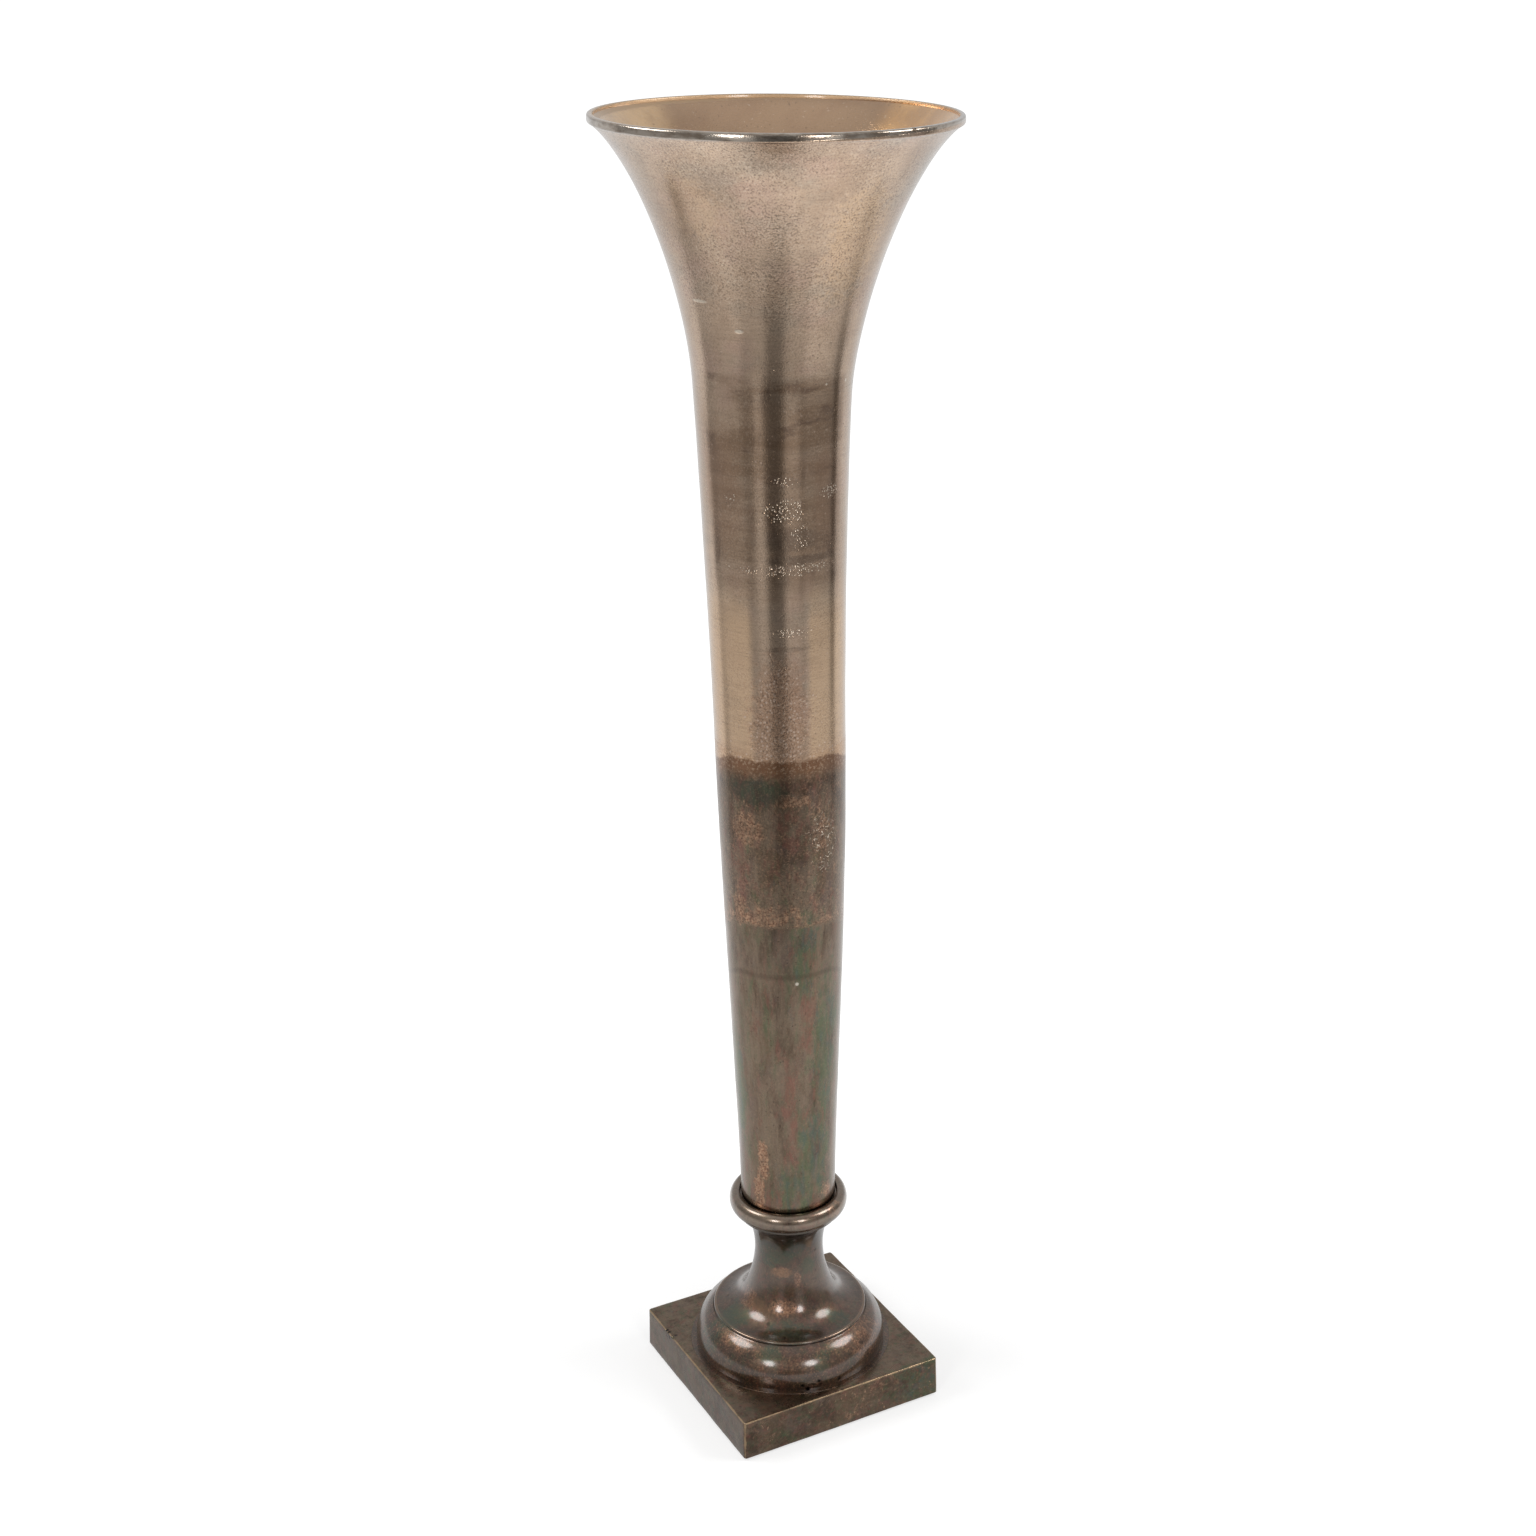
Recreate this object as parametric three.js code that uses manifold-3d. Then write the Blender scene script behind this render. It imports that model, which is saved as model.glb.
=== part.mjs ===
// Tall flute-shaped floor vase: hollow metal castings stacked on a square plinth and
// clamped together by one threaded tie rod that runs from the plinth to the vase floor.
// Millimetres, +Z up. The origin is on the floor, under the middle of the plinth.

import * as THREE from 'three';
import { mergeVertices } from 'three/addons/utils/BufferGeometryUtils.js';
import Module from 'manifold-3d';

// Facets round every turned piece, and along its curves
const roundFacets = 40;
const smallRoundFacets = 24;
const trunkCurveSteps = 9;
const shaftCurveSteps = 6;
const bellCurveSteps = 12;
const ringArcSteps = 8;
const torusArcSteps = 7;
const tuckArcSteps = 3;
const dishCurveSteps = 3;
const flareCurveSteps = 7;
const coveCurveSteps = 5;

// Fits
const slipFit = 0.3;
const rodFit = 0.4;
const lapEndGap = 0.5;

// Floor pads under the plinth's corners
const padRadius = 10;
const padThickness = 2;
const padInset = 20;

// Plinth: hollow square casting with drafted sides
const plinthSideBottom = 209.4;
const plinthSideTop = 205.4;
const plinthHeight = 39.5;
const plinthWall = 6;
const plinthPlate = 7;
const padBossMargin = 4;
const rodBossRadius = 24;
const registerHeight = 4;
const registerWidth = 8;

// Foot: torus, dished lip and waisted neck, cored out from below
const footHeight = 146;
const footFlangeRadius = 97;
const footFlangeThickness = 1.8;
const torusRadius = 91;
const torusCrownRadius = 74;
const torusWaistHeight = 10.5;
const torusCrownHeight = 38.5;
const torusTuckAngle = 60;
const grooveRadius = 76.4;
const grooveWidth = 1.2;
const grooveDepth = 1.4;
const lipRise = 3.7;
const lipRound = 1.5;
const dishInnerRadius = 54;
const dishRise = 3.8;
const flareReach = 10.2;
const neckRadius = 32.8;
const neckHeight = 103.5;
const neckStraight = 16;
const coveStraight = 20;
const coveDepth = 9;
const footTopRadius = 48.5;
const footTopThickness = 3;
const footTopRound = 0.8;
const footCoreRadius = 82;
const footCoreShoulder = 8.5;
const footCoreRoof = 31;
const footCoreRoofRadius = 66;
const footCoreThroatRadius = 38;
const footCoreThroatHeight = 42;
const neckBoreRadius = 24.5;
const neckBoreHeight = 70;

// Collar: half-round ring with a shallow cup that the trunk stands in
const collarRadius = 56;
const collarRingWidth = 6.5;
const collarSeatRadius = 47;
const collarSeatGroove = 1.2;
const collarFloor = 15.5;
const collarSpigotLength = 8;
const cupDepth = 4.5;
const cupFit = 0.7;
const cupLedge = 0.6;

// Trunk, shaft and bell: three hollow castings joined by half-lap spigots
const trunkLength = 468;
const trunkFootRadius = 45.2;
const trunkFootRound = 1.6;
const trunkWall = 5;
const trunkFloor = 9;
const trunkSpigotRadius = 30;
const trunkSpigotLength = 5;
const trunkFootStraight = 84;
const trunkHeadTaper = 1.7;
const trunkHeadStraight = 190;
const lowerSeamRadius = 57.9;
const shaftLength = 314;
const shaftWall = 5;
const shaftFootStraight = 74;
const shaftHeadTaper = 3.4;
const shaftHeadStraight = 48;
const upperSeamRadius = 67;
const bellLength = 215;
const bellWall = 5;
const bellFootTaper = 5.6;
const bellFootStraight = 77;
const bellHeadReach = 38.7;
const bellHeadDrop = 26.8;
const lapLength = 14;
const rimRadius = 151;
const rimBandHeight = 7;
const rimRound = 1.8;

// Tie rod and its hardware
const rodRadius = 6;
const rodProjection = 3.5;
const rodChamfer = 1;
const nutAcrossFlats = 19;
const nutHeight = 10.8;
const nutFloorClearance = 4;
const sealRadius = 17;
const sealThickness = 3;
const washerRadius = 14;
const washerThickness = 2.5;
const baseWasherRadius = 20;
const baseWasherThickness = 3;
const springWasherRadius = 10.5;
const springWasherThickness = 3;

// Heights of the joints between the pieces
const plinthBottom = padThickness;
const plinthTop = plinthBottom + plinthHeight;
const footTop = plinthTop + footHeight;
const cupFloor = footTop + collarFloor;
const lowerSeam = cupFloor + trunkLength;
const upperSeam = lowerSeam + shaftLength;
const rimTop = upperSeam + bellLength;
const rodHoleRadius = rodRadius + rodFit;

// Stack of hardware under the plinth, and on the vase floor
const baseNutBottom = plinthBottom + nutFloorClearance + rodProjection;
const baseNutTop = baseNutBottom + nutHeight;
const springWasherTop = baseNutTop + springWasherThickness;
const rodBossBottom = springWasherTop + baseWasherThickness;
const vaseFloor = cupFloor + trunkFloor;
const sealTop = vaseFloor + sealThickness;
const washerTop = sealTop + washerThickness;
const topNutTop = washerTop + nutHeight;

const wasm = await Module();
wasm.setup();

const point = (radius, height) => new THREE.Vector2(radius, height);

const curve = (...controls) => new THREE.CubicBezierCurve(...controls);

// A solid turned about Z from an outline of [radius, height] points
function turned(outline, facets = roundFacets) {
  const geometry = new THREE.LatheGeometry(outline, facets);
  return geometry.rotateX(Math.PI / 2);
}

// A ring is an outline that closes on itself
function turnedRing(outline, facets = roundFacets) {
  return turned([...outline, outline[0].clone()], facets);
}

// Points on an elliptical arc, angles in degrees from the outward direction
function ellipseArc(centre, halfWidth, halfHeight, fromAngle, toAngle, steps) {
  const points = [];
  for (let step = 0; step <= steps; step += 1) {
    const angle = THREE.MathUtils.degToRad(fromAngle + ((toAngle - fromAngle) * step) / steps);
    points.push(point(centre.x + halfWidth * Math.cos(angle), centre.y + halfHeight * Math.sin(angle)));
  }
  return points;
}

// The inner wall: the outer curve moved towards the axis by the wall, between two heights
function innerWall(outer, wall, steps, lowest, highest) {
  const points = [];
  for (let step = 0; step <= steps; step += 1) {
    const place = outer.getPoint(step / steps);
    const along = outer.getTangent(step / steps);
    const inner = point(place.x - wall * along.y, place.y + wall * along.x);
    if (inner.y > lowest + lapEndGap && inner.y < highest - lapEndGap) {
      points.push(inner);
    }
  }
  return points.reverse();
}

function washer(outerRadius, bottom, thickness) {
  const top = bottom + thickness;
  return turnedRing([
    point(rodHoleRadius, bottom),
    point(outerRadius, bottom),
    point(outerRadius, top),
    point(rodHoleRadius, top),
  ], smallRoundFacets);
}

function hexNut(bottom) {
  const corner = nutAcrossFlats / Math.sqrt(3);
  const outline = new THREE.Shape();
  for (let side = 0; side < 6; side += 1) {
    const angle = (side * Math.PI) / 3;
    const x = corner * Math.cos(angle);
    const y = corner * Math.sin(angle);
    if (side === 0) outline.moveTo(x, y);
    else outline.lineTo(x, y);
  }
  outline.closePath();
  const bore = new THREE.Path();
  bore.absarc(0, 0, rodRadius + slipFit, 0, Math.PI * 2, true);
  outline.holes.push(bore);
  const options = { depth: nutHeight, bevelEnabled: false, curveSegments: smallRoundFacets };
  const geometry = new THREE.ExtrudeGeometry(outline, options);
  return geometry.translate(0, 0, bottom);
}

// Solids for joining and cutting
function toSolid(geometry) {
  const bare = geometry.clone();
  bare.deleteAttribute('normal');
  bare.deleteAttribute('uv');
  const merged = mergeVertices(bare, 1e-4);
  const mesh = new wasm.Mesh({
    numProp: 3,
    vertProperties: new Float32Array(merged.attributes.position.array),
    triVerts: new Uint32Array(merged.index.array),
  });
  return new wasm.Manifold(mesh);
}

function toGeometry(solid) {
  const mesh = solid.getMesh();
  const geometry = new THREE.BufferGeometry();
  geometry.setAttribute('position', new THREE.BufferAttribute(new Float32Array(mesh.vertProperties), 3));
  geometry.setIndex(new THREE.BufferAttribute(new Uint32Array(mesh.triVerts), 1));
  geometry.computeVertexNormals();
  return geometry;
}

// A square block with drafted sides, between two heights
function draftedBlock(sideBottom, sideTop, bottom, top) {
  const height = top - bottom;
  const geometry = new THREE.CylinderGeometry(sideTop / Math.SQRT2, sideBottom / Math.SQRT2, height, 4);
  return geometry.rotateY(Math.PI / 4).rotateX(Math.PI / 2).translate(0, 0, bottom + height / 2);
}

function post(radius, bottom, top, x = 0, y = 0) {
  const height = top - bottom;
  const geometry = new THREE.CylinderGeometry(radius, radius, height, smallRoundFacets);
  return geometry.rotateX(Math.PI / 2).translate(x, y, bottom + height / 2);
}

const padOffset = plinthSideBottom / 2 - padInset;
const padPlaces = {
  front_left: [-padOffset, -padOffset],
  front_right: [padOffset, -padOffset],
  rear_left: [-padOffset, padOffset],
  rear_right: [padOffset, padOffset],
};

// Plinth: shell, corner bosses for the pads, a boss for the rod and a register ring for the foot
function plinthGeometry() {
  const underPlate = plinthTop - plinthPlate;
  const draft = (plinthSideBottom - plinthSideTop) / plinthHeight;
  const coreBottom = plinthSideBottom - 2 * plinthWall;
  const coreTop = coreBottom - draft * (underPlate - plinthBottom);
  const block = toSolid(draftedBlock(plinthSideBottom, plinthSideTop, plinthBottom, plinthTop));
  const core = toSolid(draftedBlock(coreBottom, coreTop, plinthBottom, underPlate));
  const rootDepth = plinthPlate / 2;
  let solid = block.subtract(core);
  for (const [x, y] of Object.values(padPlaces)) {
    const boss = toSolid(post(padRadius + padBossMargin, plinthBottom, underPlate + rootDepth, x, y));
    solid = solid.add(boss.intersect(block));
  }
  solid = solid.add(toSolid(post(rodBossRadius, rodBossBottom, underPlate + rootDepth)));
  const registerRadius = footCoreRadius - slipFit;
  solid = solid.add(toSolid(turnedRing([
    point(registerRadius - registerWidth, plinthTop - rootDepth),
    point(registerRadius, plinthTop - rootDepth),
    point(registerRadius, plinthTop + registerHeight),
    point(registerRadius - registerWidth, plinthTop + registerHeight),
  ])));
  const rodHole = post(rodHoleRadius, plinthBottom, plinthTop + registerHeight);
  return toGeometry(solid.subtract(toSolid(rodHole)));
}

// Foot: flange, tucked torus, groove, rolled lip, dish, waisted neck and top flange
function footGeometry() {
  const flangeTop = plinthTop + footFlangeThickness;
  const torusWaist = plinthTop + torusWaistHeight;
  const torusCentre = point(torusCrownRadius, torusWaist);
  const torusWidth = torusRadius - torusCrownRadius;
  const crownHeight = torusCrownHeight - torusWaistHeight;
  const tuckHeight = torusWaist - flangeTop;
  const crownAngle = THREE.MathUtils.radToDeg(Math.acos((grooveRadius - torusCrownRadius) / torusWidth));
  const tuck = ellipseArc(torusCentre, torusWidth, tuckHeight, -torusTuckAngle, 0, tuckArcSteps);
  const crown = ellipseArc(torusCentre, torusWidth, crownHeight, 0, crownAngle, torusArcSteps);
  const grooveTop = crown[crown.length - 1].y;
  const lipOuter = grooveRadius - grooveWidth;
  const lipTop = grooveTop + lipRise;
  const dishTop = lipTop + dishRise;
  const neck = plinthTop + neckHeight;
  const dish = curve(
    point(lipOuter - lipRound, lipTop),
    point((2 * lipOuter + dishInnerRadius) / 3, lipTop + (2 * dishRise) / 3),
    point((lipOuter + 2 * dishInnerRadius) / 3, dishTop),
    point(dishInnerRadius, dishTop),
  );
  const flare = curve(
    point(dishInnerRadius, dishTop),
    point(dishInnerRadius - flareReach, dishTop),
    point(neckRadius, neck - neckStraight),
    point(neckRadius, neck),
  );
  const flangeBottom = footTop - footTopThickness;
  const cove = curve(
    point(neckRadius, neck),
    point(neckRadius, neck + coveStraight),
    point(footTopRadius - footTopRound - coveDepth, flangeBottom - coveDepth / 3),
    point(footTopRadius - footTopRound, flangeBottom),
  );
  return turnedRing([
    point(footCoreRadius, plinthTop),
    point(footFlangeRadius, plinthTop),
    point(footFlangeRadius, flangeTop),
    point(tuck[0].x, flangeTop),
    ...tuck,
    ...crown.slice(1),
    point(grooveRadius - grooveWidth / 2, grooveTop - grooveDepth),
    point(lipOuter - lipRound / 2, grooveTop),
    point(lipOuter, lipTop - lipRound),
    point(lipOuter - lipRound * (1 - Math.SQRT1_2), lipTop - lipRound * (1 - Math.SQRT1_2)),
    ...dish.getPoints(dishCurveSteps),
    ...flare.getPoints(flareCurveSteps).slice(1),
    ...cove.getPoints(coveCurveSteps).slice(1),
    point(footTopRadius, flangeBottom + footTopRound),
    point(footTopRadius, footTop - footTopRound),
    point(footTopRadius - footTopRound, footTop),
    point(neckBoreRadius, footTop),
    point(neckBoreRadius, plinthTop + neckBoreHeight),
    point(footCoreThroatRadius, plinthTop + footCoreThroatHeight),
    point(footCoreRoofRadius, plinthTop + footCoreRoof),
    point(footCoreRadius, plinthTop + footCoreShoulder),
  ]);
}

// Collar: spigot into the neck, half-round ring, shallow cup and socket for the trunk
function collarGeometry() {
  const ringBottom = footTop + collarSeatGroove;
  const crest = cupFloor + cupDepth;
  const ringHalfHeight = (crest - ringBottom) / 2;
  const ringCentre = point(collarRadius - collarRingWidth, ringBottom + ringHalfHeight);
  const cupRadius = trunkFootRadius + cupFit;
  const spigotRadius = neckBoreRadius - slipFit;
  const socketRadius = trunkSpigotRadius + slipFit;
  const socketFloor = cupFloor - trunkSpigotLength - lapEndGap;
  return turnedRing([
    point(rodHoleRadius, footTop - collarSpigotLength),
    point(spigotRadius, footTop - collarSpigotLength),
    point(spigotRadius, footTop),
    point(collarSeatRadius, footTop),
    point(collarSeatRadius, ringBottom),
    ...ellipseArc(ringCentre, collarRingWidth, ringHalfHeight, -90, 90, ringArcSteps),
    point(cupRadius, cupFloor + cupLedge),
    point(cupRadius, cupFloor),
    point(socketRadius, cupFloor),
    point(socketRadius, socketFloor),
    point(rodHoleRadius, socketFloor),
  ]);
}

// Radii of the half-lap at a seam: the lower piece's spigot and the upper piece's socket
const lapSpigot = (seamRadius, wall) => seamRadius - wall / 2 - slipFit / 2;
const lapSocket = (seamRadius, wall) => seamRadius - wall / 2 + slipFit / 2;

const trunkSide = curve(
  point(trunkFootRadius, cupFloor + trunkFootRound),
  point(trunkFootRadius, cupFloor + trunkFootRound + trunkFootStraight),
  point(lowerSeamRadius - trunkHeadTaper, lowerSeam - trunkHeadStraight),
  point(lowerSeamRadius, lowerSeam),
);

const shaftSide = curve(
  point(lowerSeamRadius, lowerSeam),
  point(lowerSeamRadius, lowerSeam + shaftFootStraight),
  point(upperSeamRadius - shaftHeadTaper, upperSeam - shaftHeadStraight),
  point(upperSeamRadius, upperSeam),
);

const bellSide = curve(
  point(upperSeamRadius, upperSeam),
  point(upperSeamRadius + bellFootTaper, upperSeam + bellFootStraight),
  point(rimRadius - rimRound - bellHeadReach, rimTop - rimBandHeight - bellHeadDrop),
  point(rimRadius - rimRound, rimTop - rimBandHeight),
);

// Lower trunk: floor with the rod hole, bottom spigot, wall and the spigot of the lower seam
function lowerTrunkGeometry() {
  const spigotBottom = cupFloor - trunkSpigotLength;
  const lapTop = lowerSeam + lapLength;
  const inside = lowerSeamRadius - trunkWall;
  return turnedRing([
    point(rodHoleRadius, spigotBottom),
    point(trunkSpigotRadius, spigotBottom),
    point(trunkSpigotRadius, cupFloor),
    point(trunkFootRadius - trunkFootRound, cupFloor),
    ...trunkSide.getPoints(trunkCurveSteps),
    point(lapSpigot(lowerSeamRadius, trunkWall), lowerSeam),
    point(lapSpigot(lowerSeamRadius, trunkWall), lapTop),
    point(inside, lapTop),
    ...innerWall(trunkSide, trunkWall, trunkCurveSteps, vaseFloor, lapTop),
    point(trunkFootRadius - trunkWall, vaseFloor),
    point(rodHoleRadius, vaseFloor),
  ]);
}

// A seam's socket: the last inside points of the piece that stands on it
function socket(seamRadius, lowerWall, ownWall, seam) {
  const socketTop = seam + lapLength + lapEndGap;
  return [
    point(seamRadius - ownWall, socketTop),
    point(lapSocket(seamRadius, lowerWall), socketTop),
    point(lapSocket(seamRadius, lowerWall), seam),
  ];
}

function upperShaftGeometry() {
  const lapTop = upperSeam + lapLength;
  const socketTop = lowerSeam + lapLength;
  return turnedRing([
    ...shaftSide.getPoints(shaftCurveSteps),
    point(lapSpigot(upperSeamRadius, shaftWall), upperSeam),
    point(lapSpigot(upperSeamRadius, shaftWall), lapTop),
    point(upperSeamRadius - shaftWall, lapTop),
    ...innerWall(shaftSide, shaftWall, shaftCurveSteps, socketTop + lapEndGap, lapTop),
    ...socket(lowerSeamRadius, trunkWall, shaftWall, lowerSeam),
  ]);
}

function trumpetBellGeometry() {
  const socketTop = upperSeam + lapLength;
  const inside = innerWall(bellSide, bellWall, bellCurveSteps, socketTop + lapEndGap, rimTop);
  const lipInside = inside[0].x;
  return turnedRing([
    ...bellSide.getPoints(bellCurveSteps),
    point(rimRadius, rimTop - rimBandHeight + rimRound),
    point(rimRadius, rimTop - rimRound),
    point(rimRadius - rimRound, rimTop),
    point(lipInside + rimRound / 2, rimTop),
    ...inside,
    ...socket(upperSeamRadius, shaftWall, bellWall, upperSeam),
  ]);
}

function tieRodGeometry() {
  const bottom = baseNutBottom - rodProjection;
  const top = topNutTop + rodProjection;
  return turned([
    point(0, bottom),
    point(rodRadius - rodChamfer, bottom),
    point(rodRadius, bottom + rodChamfer),
    point(rodRadius, top - rodChamfer),
    point(rodRadius - rodChamfer, top),
    point(0, top),
  ], smallRoundFacets);
}

const padGeometry = ([x, y]) => post(padRadius, 0, padThickness, x, y);

// Finishes
const champagneMetal = { color: 0x9c8a6c, roughness: 0.42, metalness: 0.9 };
const patinatedBronze = { color: 0x4a3d33, roughness: 0.38, metalness: 0.85 };
const zincSteel = { color: 0xb4b6b2, roughness: 0.35, metalness: 1 };
const blackRubber = { color: 0x1d1d1d, roughness: 0.85, metalness: 0 };
const greyFelt = { color: 0x3a3936, roughness: 1, metalness: 0 };

const vase = new THREE.Group();

function addPiece(name, geometry, finish) {
  const piece = new THREE.Mesh(geometry, new THREE.MeshStandardMaterial(finish));
  piece.name = name;
  vase.add(piece);
}

addPiece('plinth', plinthGeometry(), patinatedBronze);
addPiece('foot', footGeometry(), patinatedBronze);
addPiece('collar_ring', collarGeometry(), patinatedBronze);
addPiece('lower_trunk', lowerTrunkGeometry(), patinatedBronze);
addPiece('upper_shaft', upperShaftGeometry(), champagneMetal);
addPiece('trumpet_bell', trumpetBellGeometry(), champagneMetal);
addPiece('tie_rod', tieRodGeometry(), zincSteel);
addPiece('floor_seal', washer(sealRadius, vaseFloor, sealThickness), blackRubber);
addPiece('floor_washer', washer(washerRadius, sealTop, washerThickness), zincSteel);
addPiece('top_nut', hexNut(washerTop), zincSteel);
addPiece('base_washer', washer(baseWasherRadius, springWasherTop, baseWasherThickness), zincSteel);
addPiece('spring_washer', washer(springWasherRadius, baseNutTop, springWasherThickness), zincSteel);
addPiece('base_nut', hexNut(baseNutBottom), zincSteel);
for (const [corner, place] of Object.entries(padPlaces)) {
  addPiece(`pad_${corner}`, padGeometry(place), greyFelt);
}

export default vase;
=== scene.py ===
import math
import bmesh
import bpy
from mathutils import Matrix, Vector


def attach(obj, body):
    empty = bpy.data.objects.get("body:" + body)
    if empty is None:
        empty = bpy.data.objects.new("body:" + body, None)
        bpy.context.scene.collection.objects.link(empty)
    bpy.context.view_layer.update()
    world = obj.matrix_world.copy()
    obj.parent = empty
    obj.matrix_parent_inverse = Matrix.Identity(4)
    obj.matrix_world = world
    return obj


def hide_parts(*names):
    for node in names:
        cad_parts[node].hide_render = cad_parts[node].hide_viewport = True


# A tall flute-shaped floor vase: champagne metal above, dark bronze patina below.
# Metres, +Z up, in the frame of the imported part. "Front" is the side that the camera sees,
# and a "turn" is counted in degrees to the right of it.

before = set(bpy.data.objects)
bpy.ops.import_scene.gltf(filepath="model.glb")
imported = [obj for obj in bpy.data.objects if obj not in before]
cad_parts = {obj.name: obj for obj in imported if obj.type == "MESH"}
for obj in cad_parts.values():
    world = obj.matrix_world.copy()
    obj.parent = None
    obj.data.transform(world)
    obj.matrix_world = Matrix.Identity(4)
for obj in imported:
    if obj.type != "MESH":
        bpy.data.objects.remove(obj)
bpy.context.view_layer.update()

mm = 0.001

# How finely the turned pieces are made
trunk_rounds = 192
bell_rounds = 256
foot_rounds = 192
small_rounds = 64

# Fits
slip_fit = 0.3 * mm
rod_fit = 0.4 * mm
lap_end_gap = 0.5 * mm
merge_distance = 0.004 * mm
overcut = 2 * mm

# Floor pads
pad_radius = 10 * mm
pad_thickness = 2 * mm
pad_offset = 84.7 * mm
pad_edge = 0.5 * mm

# Plinth
plinth_side_bottom = 210 * mm
plinth_side_top = 208.6 * mm
plinth_height = 39.5 * mm
plinth_wall = 6 * mm
plinth_plate = 7 * mm
plinth_edge = 1.0 * mm
plinth_corner = 2.6 * mm
plinth_grid_cuts = 40
plinth_grid_rows = 6
plinth_unevenness = 0.5 * mm
plinth_uneven_size = 22 * mm
pad_boss_radius = 14 * mm
pad_boss_recess = 0.4 * mm
nick_place = 50 * mm
nick_half_sizes = (1.6 * mm, 3.4 * mm, 1.3 * mm)
rod_boss_radius = 24 * mm
register_height = 4 * mm
register_width = 8 * mm

# Foot
foot_height = 146 * mm
foot_flange_radius = 97 * mm
foot_flange_edge = 0.4 * mm
torus_radius = 91.5 * mm
torus_crown_radius = 61.5 * mm
torus_waist_height = 4.7 * mm
torus_crown_height = 40.3 * mm
groove_radius = 74.6 * mm
groove_width = 0.9 * mm
groove_depth = 0.9 * mm
lip_rise = 3.9 * mm
lip_round = 1.7 * mm
flare_turn_radius = 45.5 * mm
flare_turn_rise = 14.4 * mm
neck_radius = 32.6 * mm
neck_height = 104.5 * mm
neck_straight = 20 * mm
cove_straight = 20 * mm
cove_depth = 9 * mm
foot_top_radius = 48.5 * mm
foot_top_thickness = 3 * mm
foot_top_round = 0.8 * mm
foot_core_radius = 82 * mm
foot_core_shoulder = 8.5 * mm
foot_core_roof = 31 * mm
foot_core_roof_radius = 66 * mm
foot_core_throat_radius = 38 * mm
foot_core_throat_height = 42 * mm
neck_bore_radius = 24.5 * mm
neck_bore_height = 70 * mm
foot_unevenness = 0.25 * mm
foot_uneven_size = 30 * mm

# Collar
collar_radius = 56 * mm
collar_ring_width = 6.5 * mm
collar_seat_radius = 47 * mm
collar_seat_groove = 1.2 * mm
collar_floor = 15.5 * mm
collar_spigot_length = 8 * mm
cup_depth = 4.5 * mm
cup_fit = 0.7 * mm
cup_ledge = 0.6 * mm

# Trunk, shaft and bell
wall = 5 * mm
trunk_length = 468 * mm
trunk_foot_radius = 44.8 * mm
trunk_foot_round = 1.6 * mm
trunk_floor = 9 * mm
trunk_spigot_radius = 30 * mm
trunk_spigot_length = 5 * mm
trunk_foot_straight = 84 * mm
trunk_head_taper = 1.7 * mm
trunk_head_straight = 190 * mm
lower_seam_radius = 57.9 * mm
shaft_length = 314 * mm
shaft_foot_straight = 74 * mm
shaft_head_taper = 3.4 * mm
shaft_head_straight = 48 * mm
upper_seam_radius = 67 * mm
bell_length = 215 * mm
bell_foot_taper = 6.4 * mm
bell_foot_straight = 77 * mm
bell_head_reach = 35.4 * mm
bell_head_drop = 26.8 * mm
lap_length = 14 * mm
rim_radius = 151 * mm
rim_band_height = 7 * mm
rim_round = 1.8 * mm
rim_crown = 0.12 * mm
rim_nick_turn = 43.5
rim_nick_half_sizes = (2.2 * mm, 2.2 * mm, 1.6 * mm)
body_unevenness = 0.5 * mm
body_uneven_size = 55 * mm

# Slight lean of the hand-made body, to the left as the camera sees it, and of the bell back again
lean_starts = 430 * mm
lean_full = 960 * mm
lean_left = 4.1 * mm
bell_tilt_starts = 972 * mm
bell_tilt_per_metre = 0.0265
bell_tilt_eases = 40 * mm
bell_droop_per_metre = 0.019
lean_layers = 61
cage_side = 2.2 * rim_radius

# Tie rod and its hardware
rod_radius = 6 * mm
rod_projection = 3.5 * mm
thread_pitch = 1.75 * mm
thread_depth = 0.9 * mm
thread_rounds = 24
nut_across_flats = 19 * mm
nut_height = 10.8 * mm
nut_chamfer = 1.1 * mm
nut_floor_clearance = 4 * mm
seal_radius = 17 * mm
seal_thickness = 3 * mm
seal_edge = 0.9 * mm
washer_radius = 14 * mm
washer_edge = 0.3 * mm
washer_thickness = 2.5 * mm
base_washer_radius = 20 * mm
base_washer_thickness = 3 * mm
spring_washer_radius = 10.5 * mm
spring_washer_thickness = 3 * mm
spring_washer_wire = 2.2 * mm
spring_washer_turn = 346

# Heights of the joints between the pieces
plinth_bottom = pad_thickness
plinth_top = plinth_bottom + plinth_height
foot_top = plinth_top + foot_height
cup_floor = foot_top + collar_floor
lower_seam = cup_floor + trunk_length
upper_seam = lower_seam + shaft_length
rim_top = upper_seam + bell_length
rod_hole_radius = rod_radius + rod_fit
base_nut_bottom = plinth_bottom + nut_floor_clearance + rod_projection
base_nut_top = base_nut_bottom + nut_height
spring_washer_top = base_nut_top + spring_washer_thickness
rod_boss_bottom = spring_washer_top + base_washer_thickness
vase_floor = cup_floor + trunk_floor
seal_top = vase_floor + seal_thickness
washer_top = seal_top + washer_thickness
top_nut_top = washer_top + nut_height

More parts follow.
